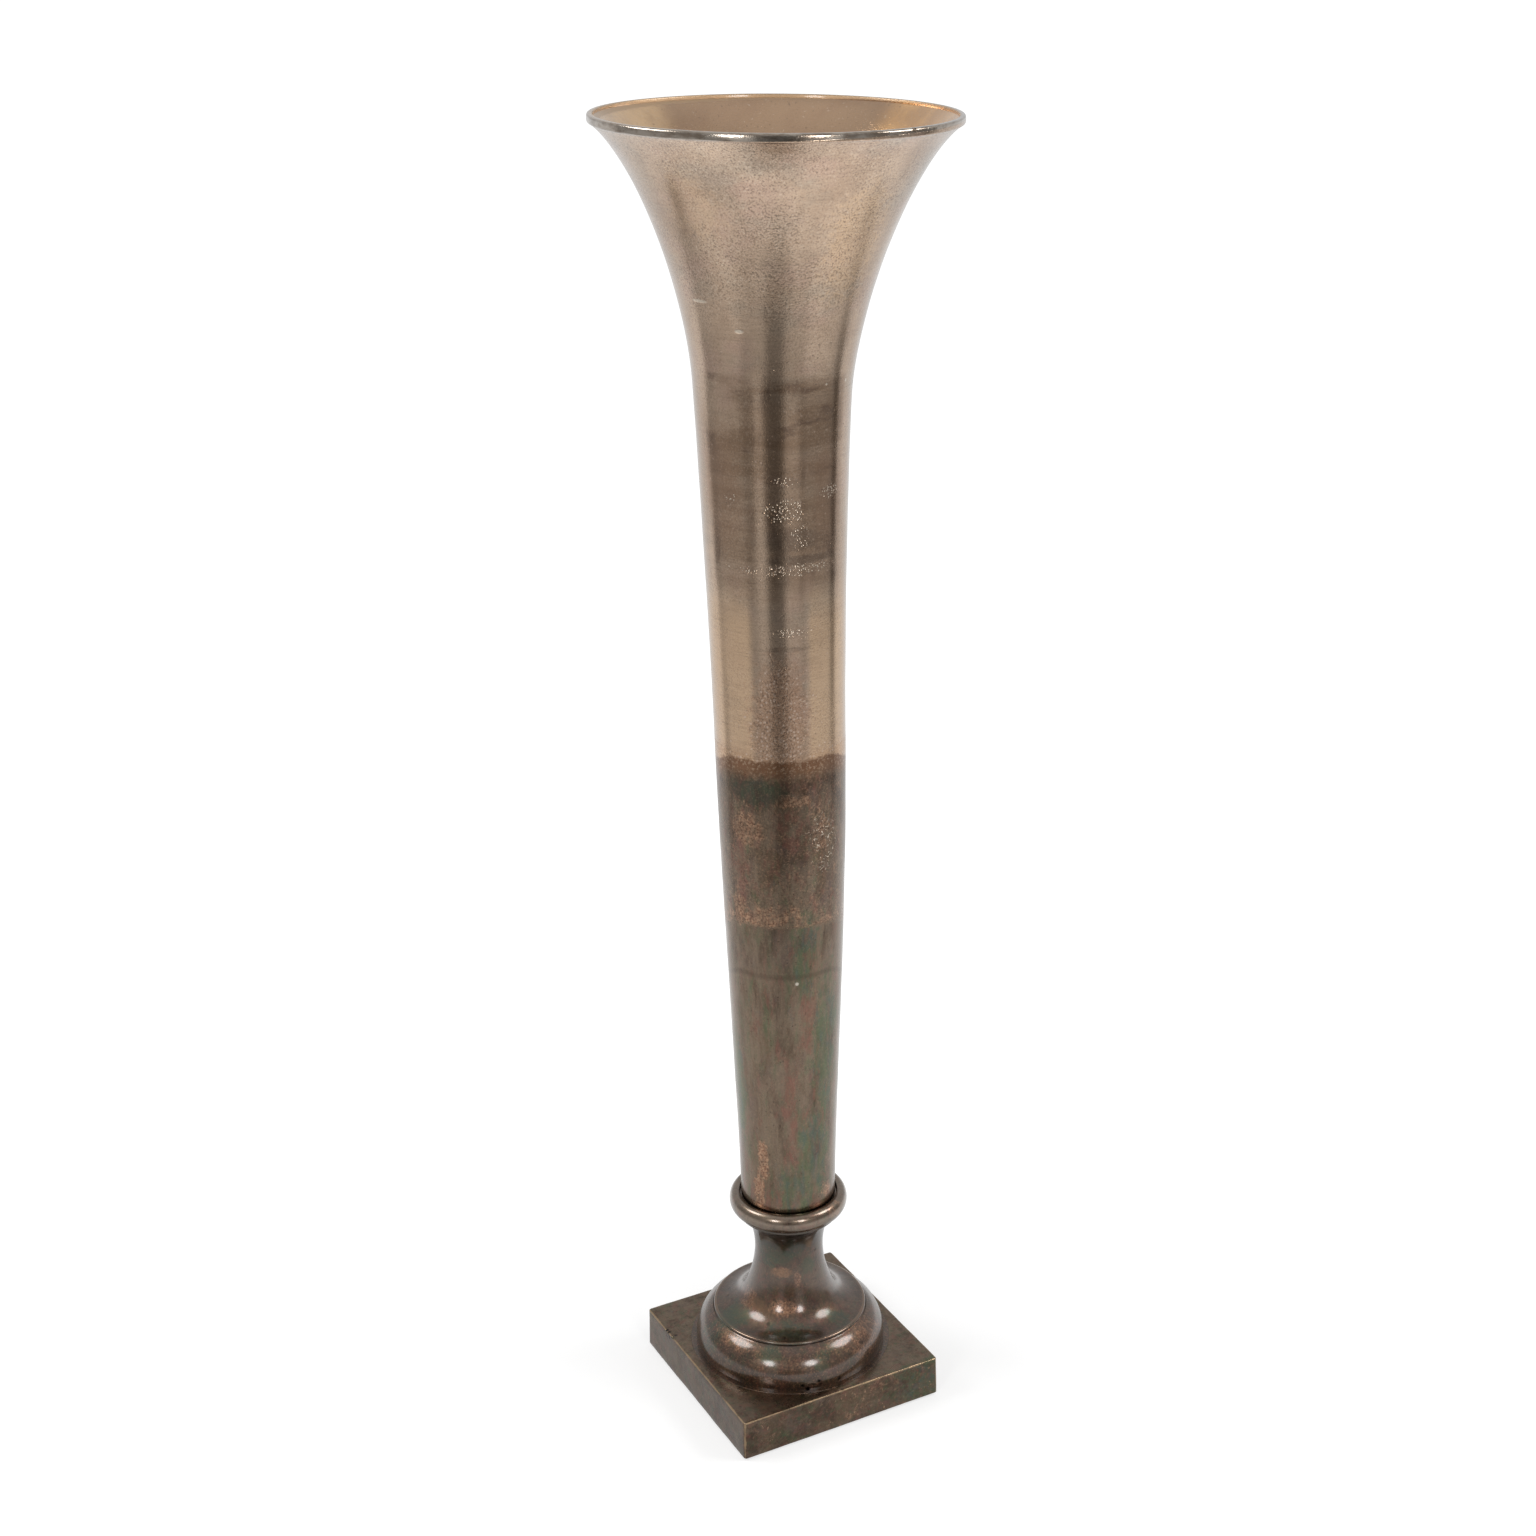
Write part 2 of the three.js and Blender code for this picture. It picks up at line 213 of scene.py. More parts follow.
# The camera, as fitted to the plinth's corners, the rim and the outline in the photo
camera_distance = 1906.6 * mm
camera_height = 1395.75 * mm
camera_pitch = math.radians(21.673)
camera_yaw = math.radians(-0.385)
camera_roll = math.radians(-0.912)
plinth_turn = math.radians(27.975)
photo_pixels = 1536
focal_pixels = 2316.17
sensor_width = 36.0
front = Vector((-math.sin(plinth_turn), -math.cos(plinth_turn), 0))
front_angle = math.atan2(front.y, front.x)
right = Vector((-front.y, front.x, 0))

# Outlines of the turned pieces, as points of radius and height

def bezier(start, first_pull, second_pull, end, steps):
    points = []
    for step in range(steps + 1):
        t = step / steps
        u = 1 - t
        shares = (u**3, 3 * u * u * t, 3 * u * t * t, t**3)
        corners = (start, first_pull, second_pull, end)
        radius = sum(share * corner[0] for share, corner in zip(shares, corners))
        height = sum(share * corner[1] for share, corner in zip(shares, corners))
        points.append((radius, height))
    return points


def arc(centre, half_width, half_height, from_angle, to_angle, steps):
    points = []
    for step in range(steps + 1):
        angle = math.radians(from_angle + (to_angle - from_angle) * step / steps)
        points.append((centre[0] + half_width * math.cos(angle), centre[1] + half_height * math.sin(angle)))
    return points


def rounding(radius, height, size, from_angle, to_angle, steps):
    return arc((radius, height), size, size, from_angle, to_angle, steps)


def ring_section(outer, bottom, top, edge, steps):
    """A flat ring round the rod's hole, with softened edges."""
    inner = rod_hole_radius
    points = rounding(inner + edge, bottom + edge, edge, 180, 270, steps)
    points += rounding(outer - edge, bottom + edge, edge, -90, 0, steps)
    points += rounding(outer - edge, top - edge, edge, 0, 90, steps)
    return points + rounding(inner + edge, top - edge, edge, 90, 180, steps)


def inner_wall(outer, lowest, highest):
    """The outer curve moved towards the axis by the wall, from the top down."""
    points = []
    last = len(outer) - 1
    for index, place in enumerate(outer):
        before = outer[max(index - 1, 0)]
        after = outer[min(index + 1, last)]
        along = Vector((after[0] - before[0], after[1] - before[1])).normalized()
        inner = (place[0] - wall * along.y, place[1] + wall * along.x)
        if lowest + lap_end_gap < inner[1] < highest - lap_end_gap:
            points.append(inner)
    return points[::-1]


def trunk_side(steps):
    foot = cup_floor + trunk_foot_round
    return bezier(
        (trunk_foot_radius, foot),
        (trunk_foot_radius, foot + trunk_foot_straight),
        (lower_seam_radius - trunk_head_taper, lower_seam - trunk_head_straight),
        (lower_seam_radius, lower_seam),
        steps,
    )


def shaft_side(steps):
    return bezier(
        (lower_seam_radius, lower_seam),
        (lower_seam_radius, lower_seam + shaft_foot_straight),
        (upper_seam_radius - shaft_head_taper, upper_seam - shaft_head_straight),
        (upper_seam_radius, upper_seam),
        steps,
    )


def bell_side(steps):
    return bezier(
        (upper_seam_radius, upper_seam),
        (upper_seam_radius + bell_foot_taper, upper_seam + bell_foot_straight),
        (rim_radius - rim_round - bell_head_reach, rim_top - rim_band_height - bell_head_drop),
        (rim_radius - rim_round, rim_top - rim_band_height),
        steps,
    )


body_outline = trunk_side(60) + shaft_side(60)[1:] + bell_side(60)[1:]


def body_radius(height):
    """The vase's outer radius at a height on the trunk, shaft or bell."""
    for lower, upper in zip(body_outline, body_outline[1:]):
        if lower[1] <= height <= upper[1]:
            share = (height - lower[1]) / (upper[1] - lower[1])
            return lower[0] + (upper[0] - lower[0]) * share
    return body_outline[-1][0]


# Modelling moves

def start_edit():
    bpy.ops.object.mode_set(mode="EDIT")


def end_edit():
    bpy.ops.object.mode_set(mode="OBJECT")


def select_all():
    bpy.ops.mesh.select_all(action="SELECT")


def clear_selection():
    bpy.ops.object.select_all(action="DESELECT")


def make_active(piece):
    clear_selection()
    piece.select_set(True)
    bpy.context.view_layer.objects.active = piece


def apply_modifier(piece, modifier):
    make_active(piece)
    bpy.ops.object.modifier_apply(modifier=modifier.name)


def new_shape(name, add, sizes=(1, 1, 1), **settings):
    """A basic shape, with its place, turn and size written into its points."""
    clear_selection()
    add(**settings)
    shape = bpy.context.object
    shape.name = name
    shape.scale = sizes
    bpy.ops.object.transform_apply(location=True, rotation=True, scale=True)
    return shape


def draw_outline(name, outline):
    """A line drawn in the XZ plane: one corner, extruded from point to point. Leaves edit mode on."""
    piece = new_shape(name, bpy.ops.mesh.primitive_plane_add, size=1 * mm, location=(0, 0, 0))
    start_edit()
    bpy.ops.mesh.select_mode(type="VERT")
    bpy.ops.mesh.merge(type="CENTER")
    bpy.ops.transform.translate(value=(outline[0][0], 0, outline[0][1]))
    for start, end in zip(outline, outline[1:]):
        step = (end[0] - start[0], 0, end[1] - start[1])
        bpy.ops.mesh.extrude_region_move(TRANSFORM_OT_translate={"value": step})
    return piece


def weld():
    """In edit mode: joins what meets and turns every face outwards."""
    select_all()
    bpy.ops.mesh.remove_doubles(threshold=merge_distance)
    bpy.ops.mesh.normals_make_consistent(inside=False)


def smooth(piece, angle=32):
    make_active(piece)
    bpy.ops.object.shade_smooth_by_angle(angle=math.radians(angle))


def turned(name, outline, rounds, ring=True):
    """A piece spun about the axis from its outline. A ring's outline closes on itself."""
    piece = draw_outline(name, outline + [outline[0]] if ring else outline)
    select_all()
    bpy.ops.mesh.spin(steps=rounds, angle=2 * math.pi, center=(0, 0, 0), axis=(0, 0, 1))
    weld()
    end_edit()
    smooth(piece)
    return piece


def wind(piece, degrees, rise, turns, steps):
    """Winds an outline about the axis, rising as it goes, and leaves edit mode on."""
    end_edit()
    winding = piece.modifiers.new("winding", "SCREW")
    winding.angle = math.radians(degrees)
    winding.screw_offset = rise
    winding.iterations = turns
    winding.steps = steps
    winding.render_steps = steps
    winding.use_merge_vertices = turns > 1
    winding.merge_threshold = merge_distance
    apply_modifier(piece, winding)
    start_edit()
    weld()


def post(name, radius, bottom, top, x=0, y=0):
    return new_shape(
        name, bpy.ops.mesh.primitive_cylinder_add,
        vertices=small_rounds, radius=radius, depth=top - bottom, location=(x, y, (bottom + top) / 2),
    )


def ball(name, place, half_sizes):
    add = bpy.ops.mesh.primitive_ico_sphere_add
    return new_shape(name, add, half_sizes, subdivisions=3, radius=1, location=place)


def combine(piece, tool, operation):
    """Joins, cuts or keeps what both share, and removes the tool."""
    modifier = piece.modifiers.new("combine", "BOOLEAN")
    modifier.operation = operation
    modifier.solver = "EXACT"
    modifier.object = tool
    apply_modifier(piece, modifier)
    bpy.data.objects.remove(tool)


def uneven(piece, depth, size, shows=None):
    """The slow unevenness of a hand-finished casting, as real shape, on the points that show."""
    clouds = bpy.data.textures.new(piece.name + "_clouds", type="CLOUDS")
    clouds.noise_scale = size
    clouds.noise_depth = 1
    modifier = piece.modifiers.new("uneven", "DISPLACE")
    modifier.texture = clouds
    modifier.texture_coords = "LOCAL"
    modifier.mid_level = 0.5
    modifier.strength = depth
    if shows:
        group = piece.vertex_groups.new(name="outside")
        points = [(point.index, point.co) for point in piece.data.vertices]
        group.add([index for index, co in points if shows(co.to_2d().length, co.z)], 1.0, "REPLACE")
        modifier.vertex_group = group.name
    apply_modifier(piece, modifier)


def uneven_body(piece, lowest, highest):
    """Unevenness on the outer skin of the body between two heights."""
    def shows(radius, height):
        return lowest < height < highest and radius > body_radius(height) - 1 * mm

    uneven(piece, body_unevenness, body_uneven_size, shows)


def lean(piece):
    """Leans the body a little with a cage of points, the same cage for every piece of it."""
    cage_data = bpy.data.lattices.new("lean_cage")
    cage_data.points_u = 2
    cage_data.points_v = 2
    cage_data.points_w = lean_layers
    for direction in "uvw":
        setattr(cage_data, "interpolation_type_" + direction, "KEY_LINEAR")
    cage = bpy.data.objects.new("lean_cage", cage_data)
    bpy.context.scene.collection.objects.link(cage)
    lowest = cage_data.points[0].co.copy()
    span = cage_data.points[-1].co - lowest
    cage.scale = (cage_side / span.x, cage_side / span.y, rim_top / span.z)
    cage.location = (0, 0, -lowest.z * rim_top / span.z)
    for point in cage_data.points:
        across = point.co.x * cage.scale.x * right.x + point.co.y * cage.scale.y * right.y
        height = (point.co.z - lowest.z) * cage.scale.z
        share = min(max((height - lean_starts) / (lean_full - lean_starts), 0), 1)
        above = max(height - bell_tilt_starts, 0)
        shift = bell_tilt_per_metre * above - lean_left * share * share * (3 - 2 * share)
        droop = bell_droop_per_metre * min(above / bell_tilt_eases, 1) * across
        move = Vector((shift * right.x, shift * right.y, -droop))
        for axis in range(3):
            point.co_deform[axis] = point.co[axis] + move[axis] / cage.scale[axis]
    modifier = piece.modifiers.new("lean", "LATTICE")
    modifier.object = cage
    apply_modifier(piece, modifier)
    bpy.data.objects.remove(cage)


def settle(piece, node):
    """A finished piece rides on the part's one body and stands for its CAD node."""
    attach(piece, "root")
    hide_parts(node)
    return piece


# Plinth: a hollow square casting

def drafted_block(name, side_bottom, side_top, bottom, top):
    sizes = (side_bottom, side_bottom, top - bottom)
    middle = (0, 0, (bottom + top) / 2)
    block = new_shape(name, bpy.ops.mesh.primitive_cube_add, sizes, size=1, location=middle)
    start_edit()
    bpy.ops.mesh.select_mode(type="FACE")
    mesh = bmesh.from_edit_mesh(block.data)
    for face in mesh.faces:
        face.select_set(face.normal.z > 0.9)
    bmesh.update_edit_mesh(block.data)
    taper = side_top / side_bottom
    bpy.ops.transform.resize(value=(taper, taper, 1))
    end_edit()
    return block


def pick_edges(piece, wanted):
    """In edit mode: selects the edges that answer the question."""
    mesh = bmesh.from_edit_mesh(piece.data)
    for edge in mesh.edges:
        edge.select_set(False)
    for edge in mesh.edges:
        if wanted(edge):
            edge.select_set(True)
    bmesh.update_edit_mesh(piece.data)


def stands_upright(edge):
    start, end = edge.verts
    return abs(start.co.z - end.co.z) > 2 * (start.co - end.co).to_2d().length


def is_sharp(edge):
    return edge.calc_face_angle(0) > math.radians(45)


pad_places = {
    "front_left": (-pad_offset, -pad_offset),
    "front_right": (pad_offset, -pad_offset),
    "rear_left": (-pad_offset, pad_offset),
    "rear_right": (pad_offset, pad_offset),
}


def cast_plinth():
    under_plate = plinth_top - plinth_plate
    root = under_plate + plinth_plate / 2
    draft = (plinth_side_bottom - plinth_side_top) / plinth_height
    core_bottom = plinth_side_bottom - 2 * plinth_wall
    core_top = core_bottom - draft * (under_plate - plinth_bottom)
    plinth = drafted_block("cast_plinth", plinth_side_bottom, plinth_side_top, plinth_bottom, plinth_top)
    start_edit()
    bpy.ops.mesh.select_mode(type="EDGE")
    pick_edges(plinth, lambda edge: not stands_upright(edge))
    bpy.ops.mesh.subdivide(number_cuts=plinth_grid_cuts)
    pick_edges(plinth, stands_upright)
    bpy.ops.mesh.subdivide(number_cuts=plinth_grid_rows)
    pick_edges(plinth, lambda edge: stands_upright(edge) and is_sharp(edge))
    bpy.ops.mesh.bevel(offset=plinth_corner, segments=5, profile=0.5)
    pick_edges(plinth, is_sharp)
    bpy.ops.mesh.bevel(offset=plinth_edge, segments=4, profile=0.5)
    end_edit()
    uneven(plinth, plinth_unevenness, plinth_uneven_size)
    core = drafted_block("core", core_bottom, core_top, plinth_bottom - overcut, under_plate)
    combine(plinth, core, "DIFFERENCE")
    for x, y in pad_places.values():
        boss = post("boss", pad_boss_radius, plinth_bottom + pad_boss_recess, root, x, y)
        combine(plinth, boss, "UNION")
    combine(plinth, post("rod_boss", rod_boss_radius, rod_boss_bottom, root), "UNION")
    register_radius = foot_core_radius - slip_fit
    register = turned("register", [
        (register_radius - register_width, root),
        (register_radius, root),
        (register_radius, plinth_top + register_height),
        (register_radius - register_width, plinth_top + register_height),
    ], foot_rounds)
    combine(plinth, register, "UNION")
    nick = ball("nick", (-plinth_side_top / 2, nick_place, plinth_top), nick_half_sizes)
    combine(plinth, nick, "DIFFERENCE")
    rod_hole = post("rod_hole", rod_hole_radius, plinth_bottom, plinth_top + register_height)
    combine(plinth, rod_hole, "DIFFERENCE")
    smooth(plinth, 30)
    return settle(plinth, "plinth")


# Foot, collar, trunk, shaft and bell

def turned_foot():
    flange_top = plinth_top + foot_flange_edge
    centre = (torus_crown_radius, plinth_top + torus_waist_height)
    width = torus_radius - torus_crown_radius
    crown_angle = math.degrees(math.acos((groove_radius - torus_crown_radius) / width))
    crown = arc(centre, width, torus_crown_height - torus_waist_height, 0, crown_angle, 30)
    groove_top = crown[-1][1]
    lip_outer = groove_radius - groove_width
    lip_top = groove_top + lip_rise
    flare_turn = lip_top + flare_turn_rise
    neck = plinth_top + neck_height
    flange_bottom = foot_top - foot_top_thickness
    flange_radius = foot_top_radius - foot_top_round
    dish = bezier(
        (lip_outer - lip_round, lip_top),
        (lip_outer - 14 * mm, lip_top + 1.2 * mm),
        (flare_turn_radius + 5 * mm, flare_turn - 7.4 * mm),
        (flare_turn_radius, flare_turn),
        20,
    )
    flare = bezier(
        (flare_turn_radius, flare_turn),
        (flare_turn_radius - 6 * mm, flare_turn + 8.9 * mm),
        (neck_radius, neck - neck_straight),
        (neck_radius, neck),
        22,
    )
    cove = bezier(
        (neck_radius, neck),
        (neck_radius, neck + cove_straight),
        (flange_radius - cove_depth, flange_bottom - cove_depth / 3),
        (flange_radius, flange_bottom),
        20,
    )
    outline = [
        (foot_core_radius, plinth_top),
        (foot_flange_radius, plinth_top),
        (foot_flange_radius - 0.2 * mm, flange_top),
        (torus_radius - 0.4 * mm, flange_top),
    ]
    outline += crown
    outline += [(groove_radius - groove_width / 2, groove_top - groove_depth)]
    outline += [(lip_outer - lip_round / 2, groove_top)]
    outline += rounding(lip_outer - lip_round, lip_top - lip_round, lip_round, -35, 90, 8)
    outline += dish[1:] + flare[1:] + cove[1:]
    outline += rounding(flange_radius, flange_bottom + foot_top_round, foot_top_round, -60, 0, 3)
    outline += rounding(flange_radius, foot_top - foot_top_round, foot_top_round, 0, 90, 4)
    outline += [
        (neck_bore_radius, foot_top),
        (neck_bore_radius, plinth_top + neck_bore_height),
        (foot_core_throat_radius, plinth_top + foot_core_throat_height),
        (foot_core_roof_radius, plinth_top + foot_core_roof),
        (foot_core_radius, plinth_top + foot_core_shoulder),
    ]
    foot = turned("turned_foot", outline, foot_rounds)

    def shows(radius, height):
        return flange_top < height < flange_bottom and radius > neck_radius - 1 * mm

    uneven(foot, foot_unevenness, foot_uneven_size, shows)
    return settle(foot, "foot")


def turned_collar():
    ring_bottom = foot_top + collar_seat_groove
    crest = cup_floor + cup_depth
    half_height = (crest - ring_bottom) / 2
    ring_centre = (collar_radius - collar_ring_width, ring_bottom + half_height)
    cup_radius = trunk_foot_radius + cup_fit
    spigot_radius = neck_bore_radius - slip_fit
    socket_radius = trunk_spigot_radius + slip_fit
    socket_floor = cup_floor - trunk_spigot_length - lap_end_gap
    outline = [
        (rod_hole_radius, foot_top - collar_spigot_length),
        (spigot_radius, foot_top - collar_spigot_length),
        (spigot_radius, foot_top),
        (collar_seat_radius, foot_top),
        (collar_seat_radius, ring_bottom),
    ]
    outline += arc(ring_centre, collar_ring_width, half_height, -90, 90, 28)
    outline += [
        (cup_radius + 1.2 * mm, crest - 0.9 * mm),
        (cup_radius, cup_floor + cup_ledge),
        (cup_radius, cup_floor),
        (socket_radius, cup_floor),
        (socket_radius, socket_floor),
        (rod_hole_radius, socket_floor),
    ]
    collar = turned("turned_collar", outline, foot_rounds)
    return settle(collar, "collar_ring")


def spigot(seam_radius, seam):
    """The top of a piece's wall, which fits into the socket of the piece above the seam."""
    radius = seam_radius - wall / 2 - slip_fit / 2
    top = seam + lap_length
    return [(radius, seam), (radius, top), (seam_radius - wall, top)]


def socket(seam_radius, seam):
    """The last inside points of a piece that stands on the seam below it."""
    radius = seam_radius - wall / 2 + slip_fit / 2
    top = seam + lap_length + lap_end_gap
    return [(seam_radius - wall, top), (radius, top), (radius, seam)]


def lower_trunk_tube():
    spigot_bottom = cup_floor - trunk_spigot_length
    foot_edge = (trunk_foot_radius - trunk_foot_round, cup_floor + trunk_foot_round)
    outline = [
        (rod_hole_radius, spigot_bottom),
        (trunk_spigot_radius, spigot_bottom),
        (trunk_spigot_radius, cup_floor),
    ]
    outline += rounding(*foot_edge, trunk_foot_round, -90, 0, 5)
    outline += trunk_side(96)[1:]
    outline += spigot(lower_seam_radius, lower_seam)
    outline += inner_wall(trunk_side(40), vase_floor, lower_seam + lap_length)
    outline += [(trunk_foot_radius - wall, vase_floor), (rod_hole_radius, vase_floor)]
    trunk = turned("lower_trunk_tube", outline, trunk_rounds)
    uneven_body(trunk, cup_floor + 8 * mm, lower_seam + 1 * mm)
    lean(trunk)
    return settle(trunk, "lower_trunk")


def upper_shaft_tube():
    outline = shaft_side(72) + spigot(upper_seam_radius, upper_seam)
    outline += inner_wall(shaft_side(30), lower_seam + lap_length + lap_end_gap, upper_seam + lap_length)
    outline += socket(lower_seam_radius, lower_seam)
    shaft = turned("upper_shaft_tube", outline, trunk_rounds)
    uneven_body(shaft, 0, upper_seam + 1 * mm)
    lean(shaft)
    return settle(shaft, "upper_shaft")


def trumpet_bell_mouth():
    band_bottom = rim_top - rim_band_height
    band_low = band_bottom + rim_round
    band_high = rim_top - rim_round
    band_radius = rim_radius - rim_round
    inside = inner_wall(bell_side(60), upper_seam + lap_length + lap_end_gap, rim_top)
    inner_round = rim_round / 2
    outline = bell_side(84)
    outline += rounding(band_radius, band_low, rim_round, -75, 0, 5)
    outline += [(rim_radius + rim_crown, (band_low + band_high) / 2)]
    outline += rounding(band_radius, band_high, rim_round, 0, 90, 6)
    outline += rounding(inside[0][0] + inner_round, rim_top - inner_round, inner_round, 90, 170, 4)
    outline += inside
    outline += socket(upper_seam_radius, upper_seam)
    bell = turned("trumpet_bell_mouth", outline, bell_rounds)
    uneven_body(bell, 0, band_bottom - 2 * mm)
    angle = front_angle + math.radians(rim_nick_turn)
    nick_on_rim = (rim_radius * math.cos(angle), rim_radius * math.sin(angle), rim_top - 1 * mm)
    combine(bell, ball("rim_nick", nick_on_rim, rim_nick_half_sizes), "DIFFERENCE")
    smooth(bell)
    lean(bell)
    return settle(bell, "trumpet_bell")


# Tie rod and its hardware

def threaded_rod():
    bottom = base_nut_bottom - rod_projection
    top = top_nut_top + rod_projection
    crest = rod_radius - 0.05 * mm
    valley = crest - thread_depth
    start = bottom - 2 * thread_pitch
    rod = draw_outline("threaded_rod", [
        (valley, start),
        (crest, start + 0.4 * thread_pitch),
        (crest, start + 0.5 * thread_pitch),
        (valley, start + 0.9 * thread_pitch),
        (valley, start + thread_pitch),
    ])
    wind(rod, 360, thread_pitch, math.ceil((top - bottom) / thread_pitch) + 4, thread_rounds)
    bpy.ops.mesh.bisect(plane_co=(0, 0, bottom), plane_no=(0, 0, 1), use_fill=True, clear_inner=True)
    select_all()
    bpy.ops.mesh.bisect(plane_co=(0, 0, top), plane_no=(0, 0, 1), use_fill=True, clear_outer=True)
    weld()
    end_edit()
    smooth(rod, 25)
    return settle(rod, "tie_rod")


def hex_nut(name, node, bottom):
    top = bottom + nut_height
    corner = nut_across_flats / math.sqrt(3)
    face_radius = nut_across_flats / 2 - 0.2 * mm
    nut = new_shape(
        name, bpy.ops.mesh.primitive_cylinder_add, vertices=6, radius=corner, depth=nut_height,
        location=(0, 0, (bottom + top) / 2), rotation=(0, 0, math.radians(30)),
    )
    blank = turned("nut_blank", [
        (0, bottom),
        (face_radius, bottom),
        (corner + 0.1 * mm, bottom + nut_chamfer),
        (corner + 0.1 * mm, top - nut_chamfer),
        (face_radius, top),
        (0, top),
    ], small_rounds, ring=False)
    combine(nut, blank, "INTERSECT")
    bore_radius = rod_radius + slip_fit
    bore_mouth = bore_radius + 1.6 * mm
    bore = turned("nut_bore", [
        (0, bottom - 1 * mm),
        (bore_mouth, bottom - 1 * mm),
        (bore_radius, bottom + 0.6 * mm),
        (bore_radius, top - 0.6 * mm),
        (bore_mouth, top + 1 * mm),
        (0, top + 1 * mm),
    ], small_rounds, ring=False)
    combine(nut, bore, "DIFFERENCE")
    smooth(nut, 25)
    return settle(nut, node)


def stamped_ring(name, node, outer, bottom, thickness, edge):
    """A flat ring with softened edges, such as a washer or the seal."""
    ring = turned(name, ring_section(outer, bottom, bottom + thickness, edge, 4), small_rounds)
    return settle(ring, node)


def split_spring_washer():
    """A spring washer: square wire wound one turn, with a gap between its ends."""
    bottom = base_nut_top + 0.05 * mm
    outline = ring_section(spring_washer_radius, bottom, bottom + spring_washer_wire, washer_edge, 2)
    washer = draw_outline("split_spring_washer", outline + [outline[0]])
    select_all()
    bpy.ops.mesh.remove_doubles(threshold=merge_distance)
    bpy.ops.mesh.edge_face_add()
    rise = spring_washer_thickness - spring_washer_wire - 0.1 * mm
    wind(washer, spring_washer_turn, rise, 1, small_rounds)
    bpy.ops.mesh.select_all(action="DESELECT")
    bpy.ops.mesh.select_mode(type="EDGE")
    bpy.ops.mesh.select_non_manifold()
    bpy.ops.mesh.fill_holes(sides=0)
    weld()
    end_edit()
    smooth(washer, 30)
    return settle(washer, "spring_washer")


def felt_pad(corner, x, y):
    outline = [(0, 0)]
    outline += rounding(pad_radius - pad_edge, pad_edge, pad_edge, -90, 0, 4)
    outline += rounding(pad_radius - pad_edge, pad_thickness - pad_edge, pad_edge, 0, 90, 4)
    outline += [(0, pad_thickness)]
    pad = turned("felt_pad_" + corner, outline, small_rounds, ring=False)
    start_edit()
    select_all()
    bpy.ops.transform.translate(value=(x, y, 0))
    end_edit()
    return settle(pad, "pad_" + corner)


# Finishes: node helpers

class Varying:
    """Something that varies over a piece, as a node puts it out. Values can be reckoned with."""

    def __init__(self, output):
        self.output = output

    def __add__(self, other):
        return maths("ADD", self, other)

    def __sub__(self, other):
        return maths("SUBTRACT", self, other)

    def __rsub__(self, other):
        return maths("SUBTRACT", other, self)

    def __mul__(self, other):
        return maths("MULTIPLY", self, other)

    __radd__ = __add__
    __rmul__ = __mul__

    def __truediv__(self, other):
        return maths("DIVIDE", self, other)


open_tree = None


def work_on(tree):
    """From now on, nodes are put into this tree."""
    global open_tree
    open_tree = tree


def put(kind, **settings):
    made = open_tree.nodes.new(kind)
    for name, value in settings.items():
        setattr(made, name, value)
    return made


def feed(socket, value):
    """Links something varying into a socket, or writes a plain value on it."""
    if isinstance(value, Varying):
        open_tree.links.new(value.output, socket)
    else:
        socket.default_value = value


def put_fed(kind, output, inputs, **settings):
    """Puts in a node, feeds its inputs and gives one of its outputs."""
    made = put(kind, **settings)
    for label, value in inputs.items():
        feed(made.inputs[label], value)
    return Varying(made.outputs[output])


def outputs_of(made):
    return {output.name: Varying(output) for output in made.outputs}


def maths(operation, first, second=0.0):
    return put_fed("ShaderNodeMath", 0, {0: first, 1: second}, operation=operation)


def vector_maths(operation, first, second=(0, 0, 0)):
    output = "Value" if operation in ("LENGTH", "DOT_PRODUCT", "DISTANCE") else "Vector"
    return put_fed("ShaderNodeVectorMath", output, {0: first, 1: second}, operation=operation)


def ramp(value, low, high, at_low=0.0, at_high=1.0):
    """A smooth step between two values."""
    ends = {"Value": value, "From Min": low, "From Max": high, "To Min": at_low, "To Max": at_high}
    return put_fed("ShaderNodeMapRange", "Result", ends, interpolation_type="SMOOTHSTEP")


def blend(share, first, second, how="MIX"):
    """A share of the second colour over the first."""
    under, over = [value if isinstance(value, Varying) else (*value, 1.0) for value in (first, second)]
    return put_fed("ShaderNodeMix", 2, {0: share, 6: under, 7: over}, data_type="RGBA", blend_type=how)


def between(share, first, second):
    return put_fed("ShaderNodeMix", 0, {0: share, 2: first, 3: second}, data_type="FLOAT")


def most(*masks):
    result = masks[0]
    for mask in masks[1:]:
        result = maths("MAXIMUM", result, mask)
    return result


def place_on_piece():
    return Varying(put("ShaderNodeTexCoord").outputs["Object"])


def noise(place, scale, detail=3.0, roughness=0.5, distortion=0.0, output="Fac"):
    inputs = {"Vector": place, "Scale": scale, "Detail": detail, "Roughness": roughness}
    return put_fed("ShaderNodeTexNoise", output, {**inputs, "Distortion": distortion})


def stretched(place, x, y, z, shift=(0, 0, 0)):
    return vector_maths("MULTIPLY", vector_maths("ADD", place, shift), (x, y, z))


def split(place):
    made = put("ShaderNodeSeparateXYZ")
    feed(made.inputs[0], place)
    return [Varying(output) for output in made.outputs]


def joined(x, y, z=0.0):
    return put_fed("ShaderNodeCombineXYZ", 0, {0: x, 1: y, 2: z})


def from_axis(place):
    """The level way from the axis to a place."""
    x, y = split(place)[:2]
    return joined(x, y)


def facing(place, direction):
    """Cosine of the turn between a place and a level direction."""
    return vector_maths("DOT_PRODUCT", vector_maths("NORMALIZE", from_axis(place)), direction)


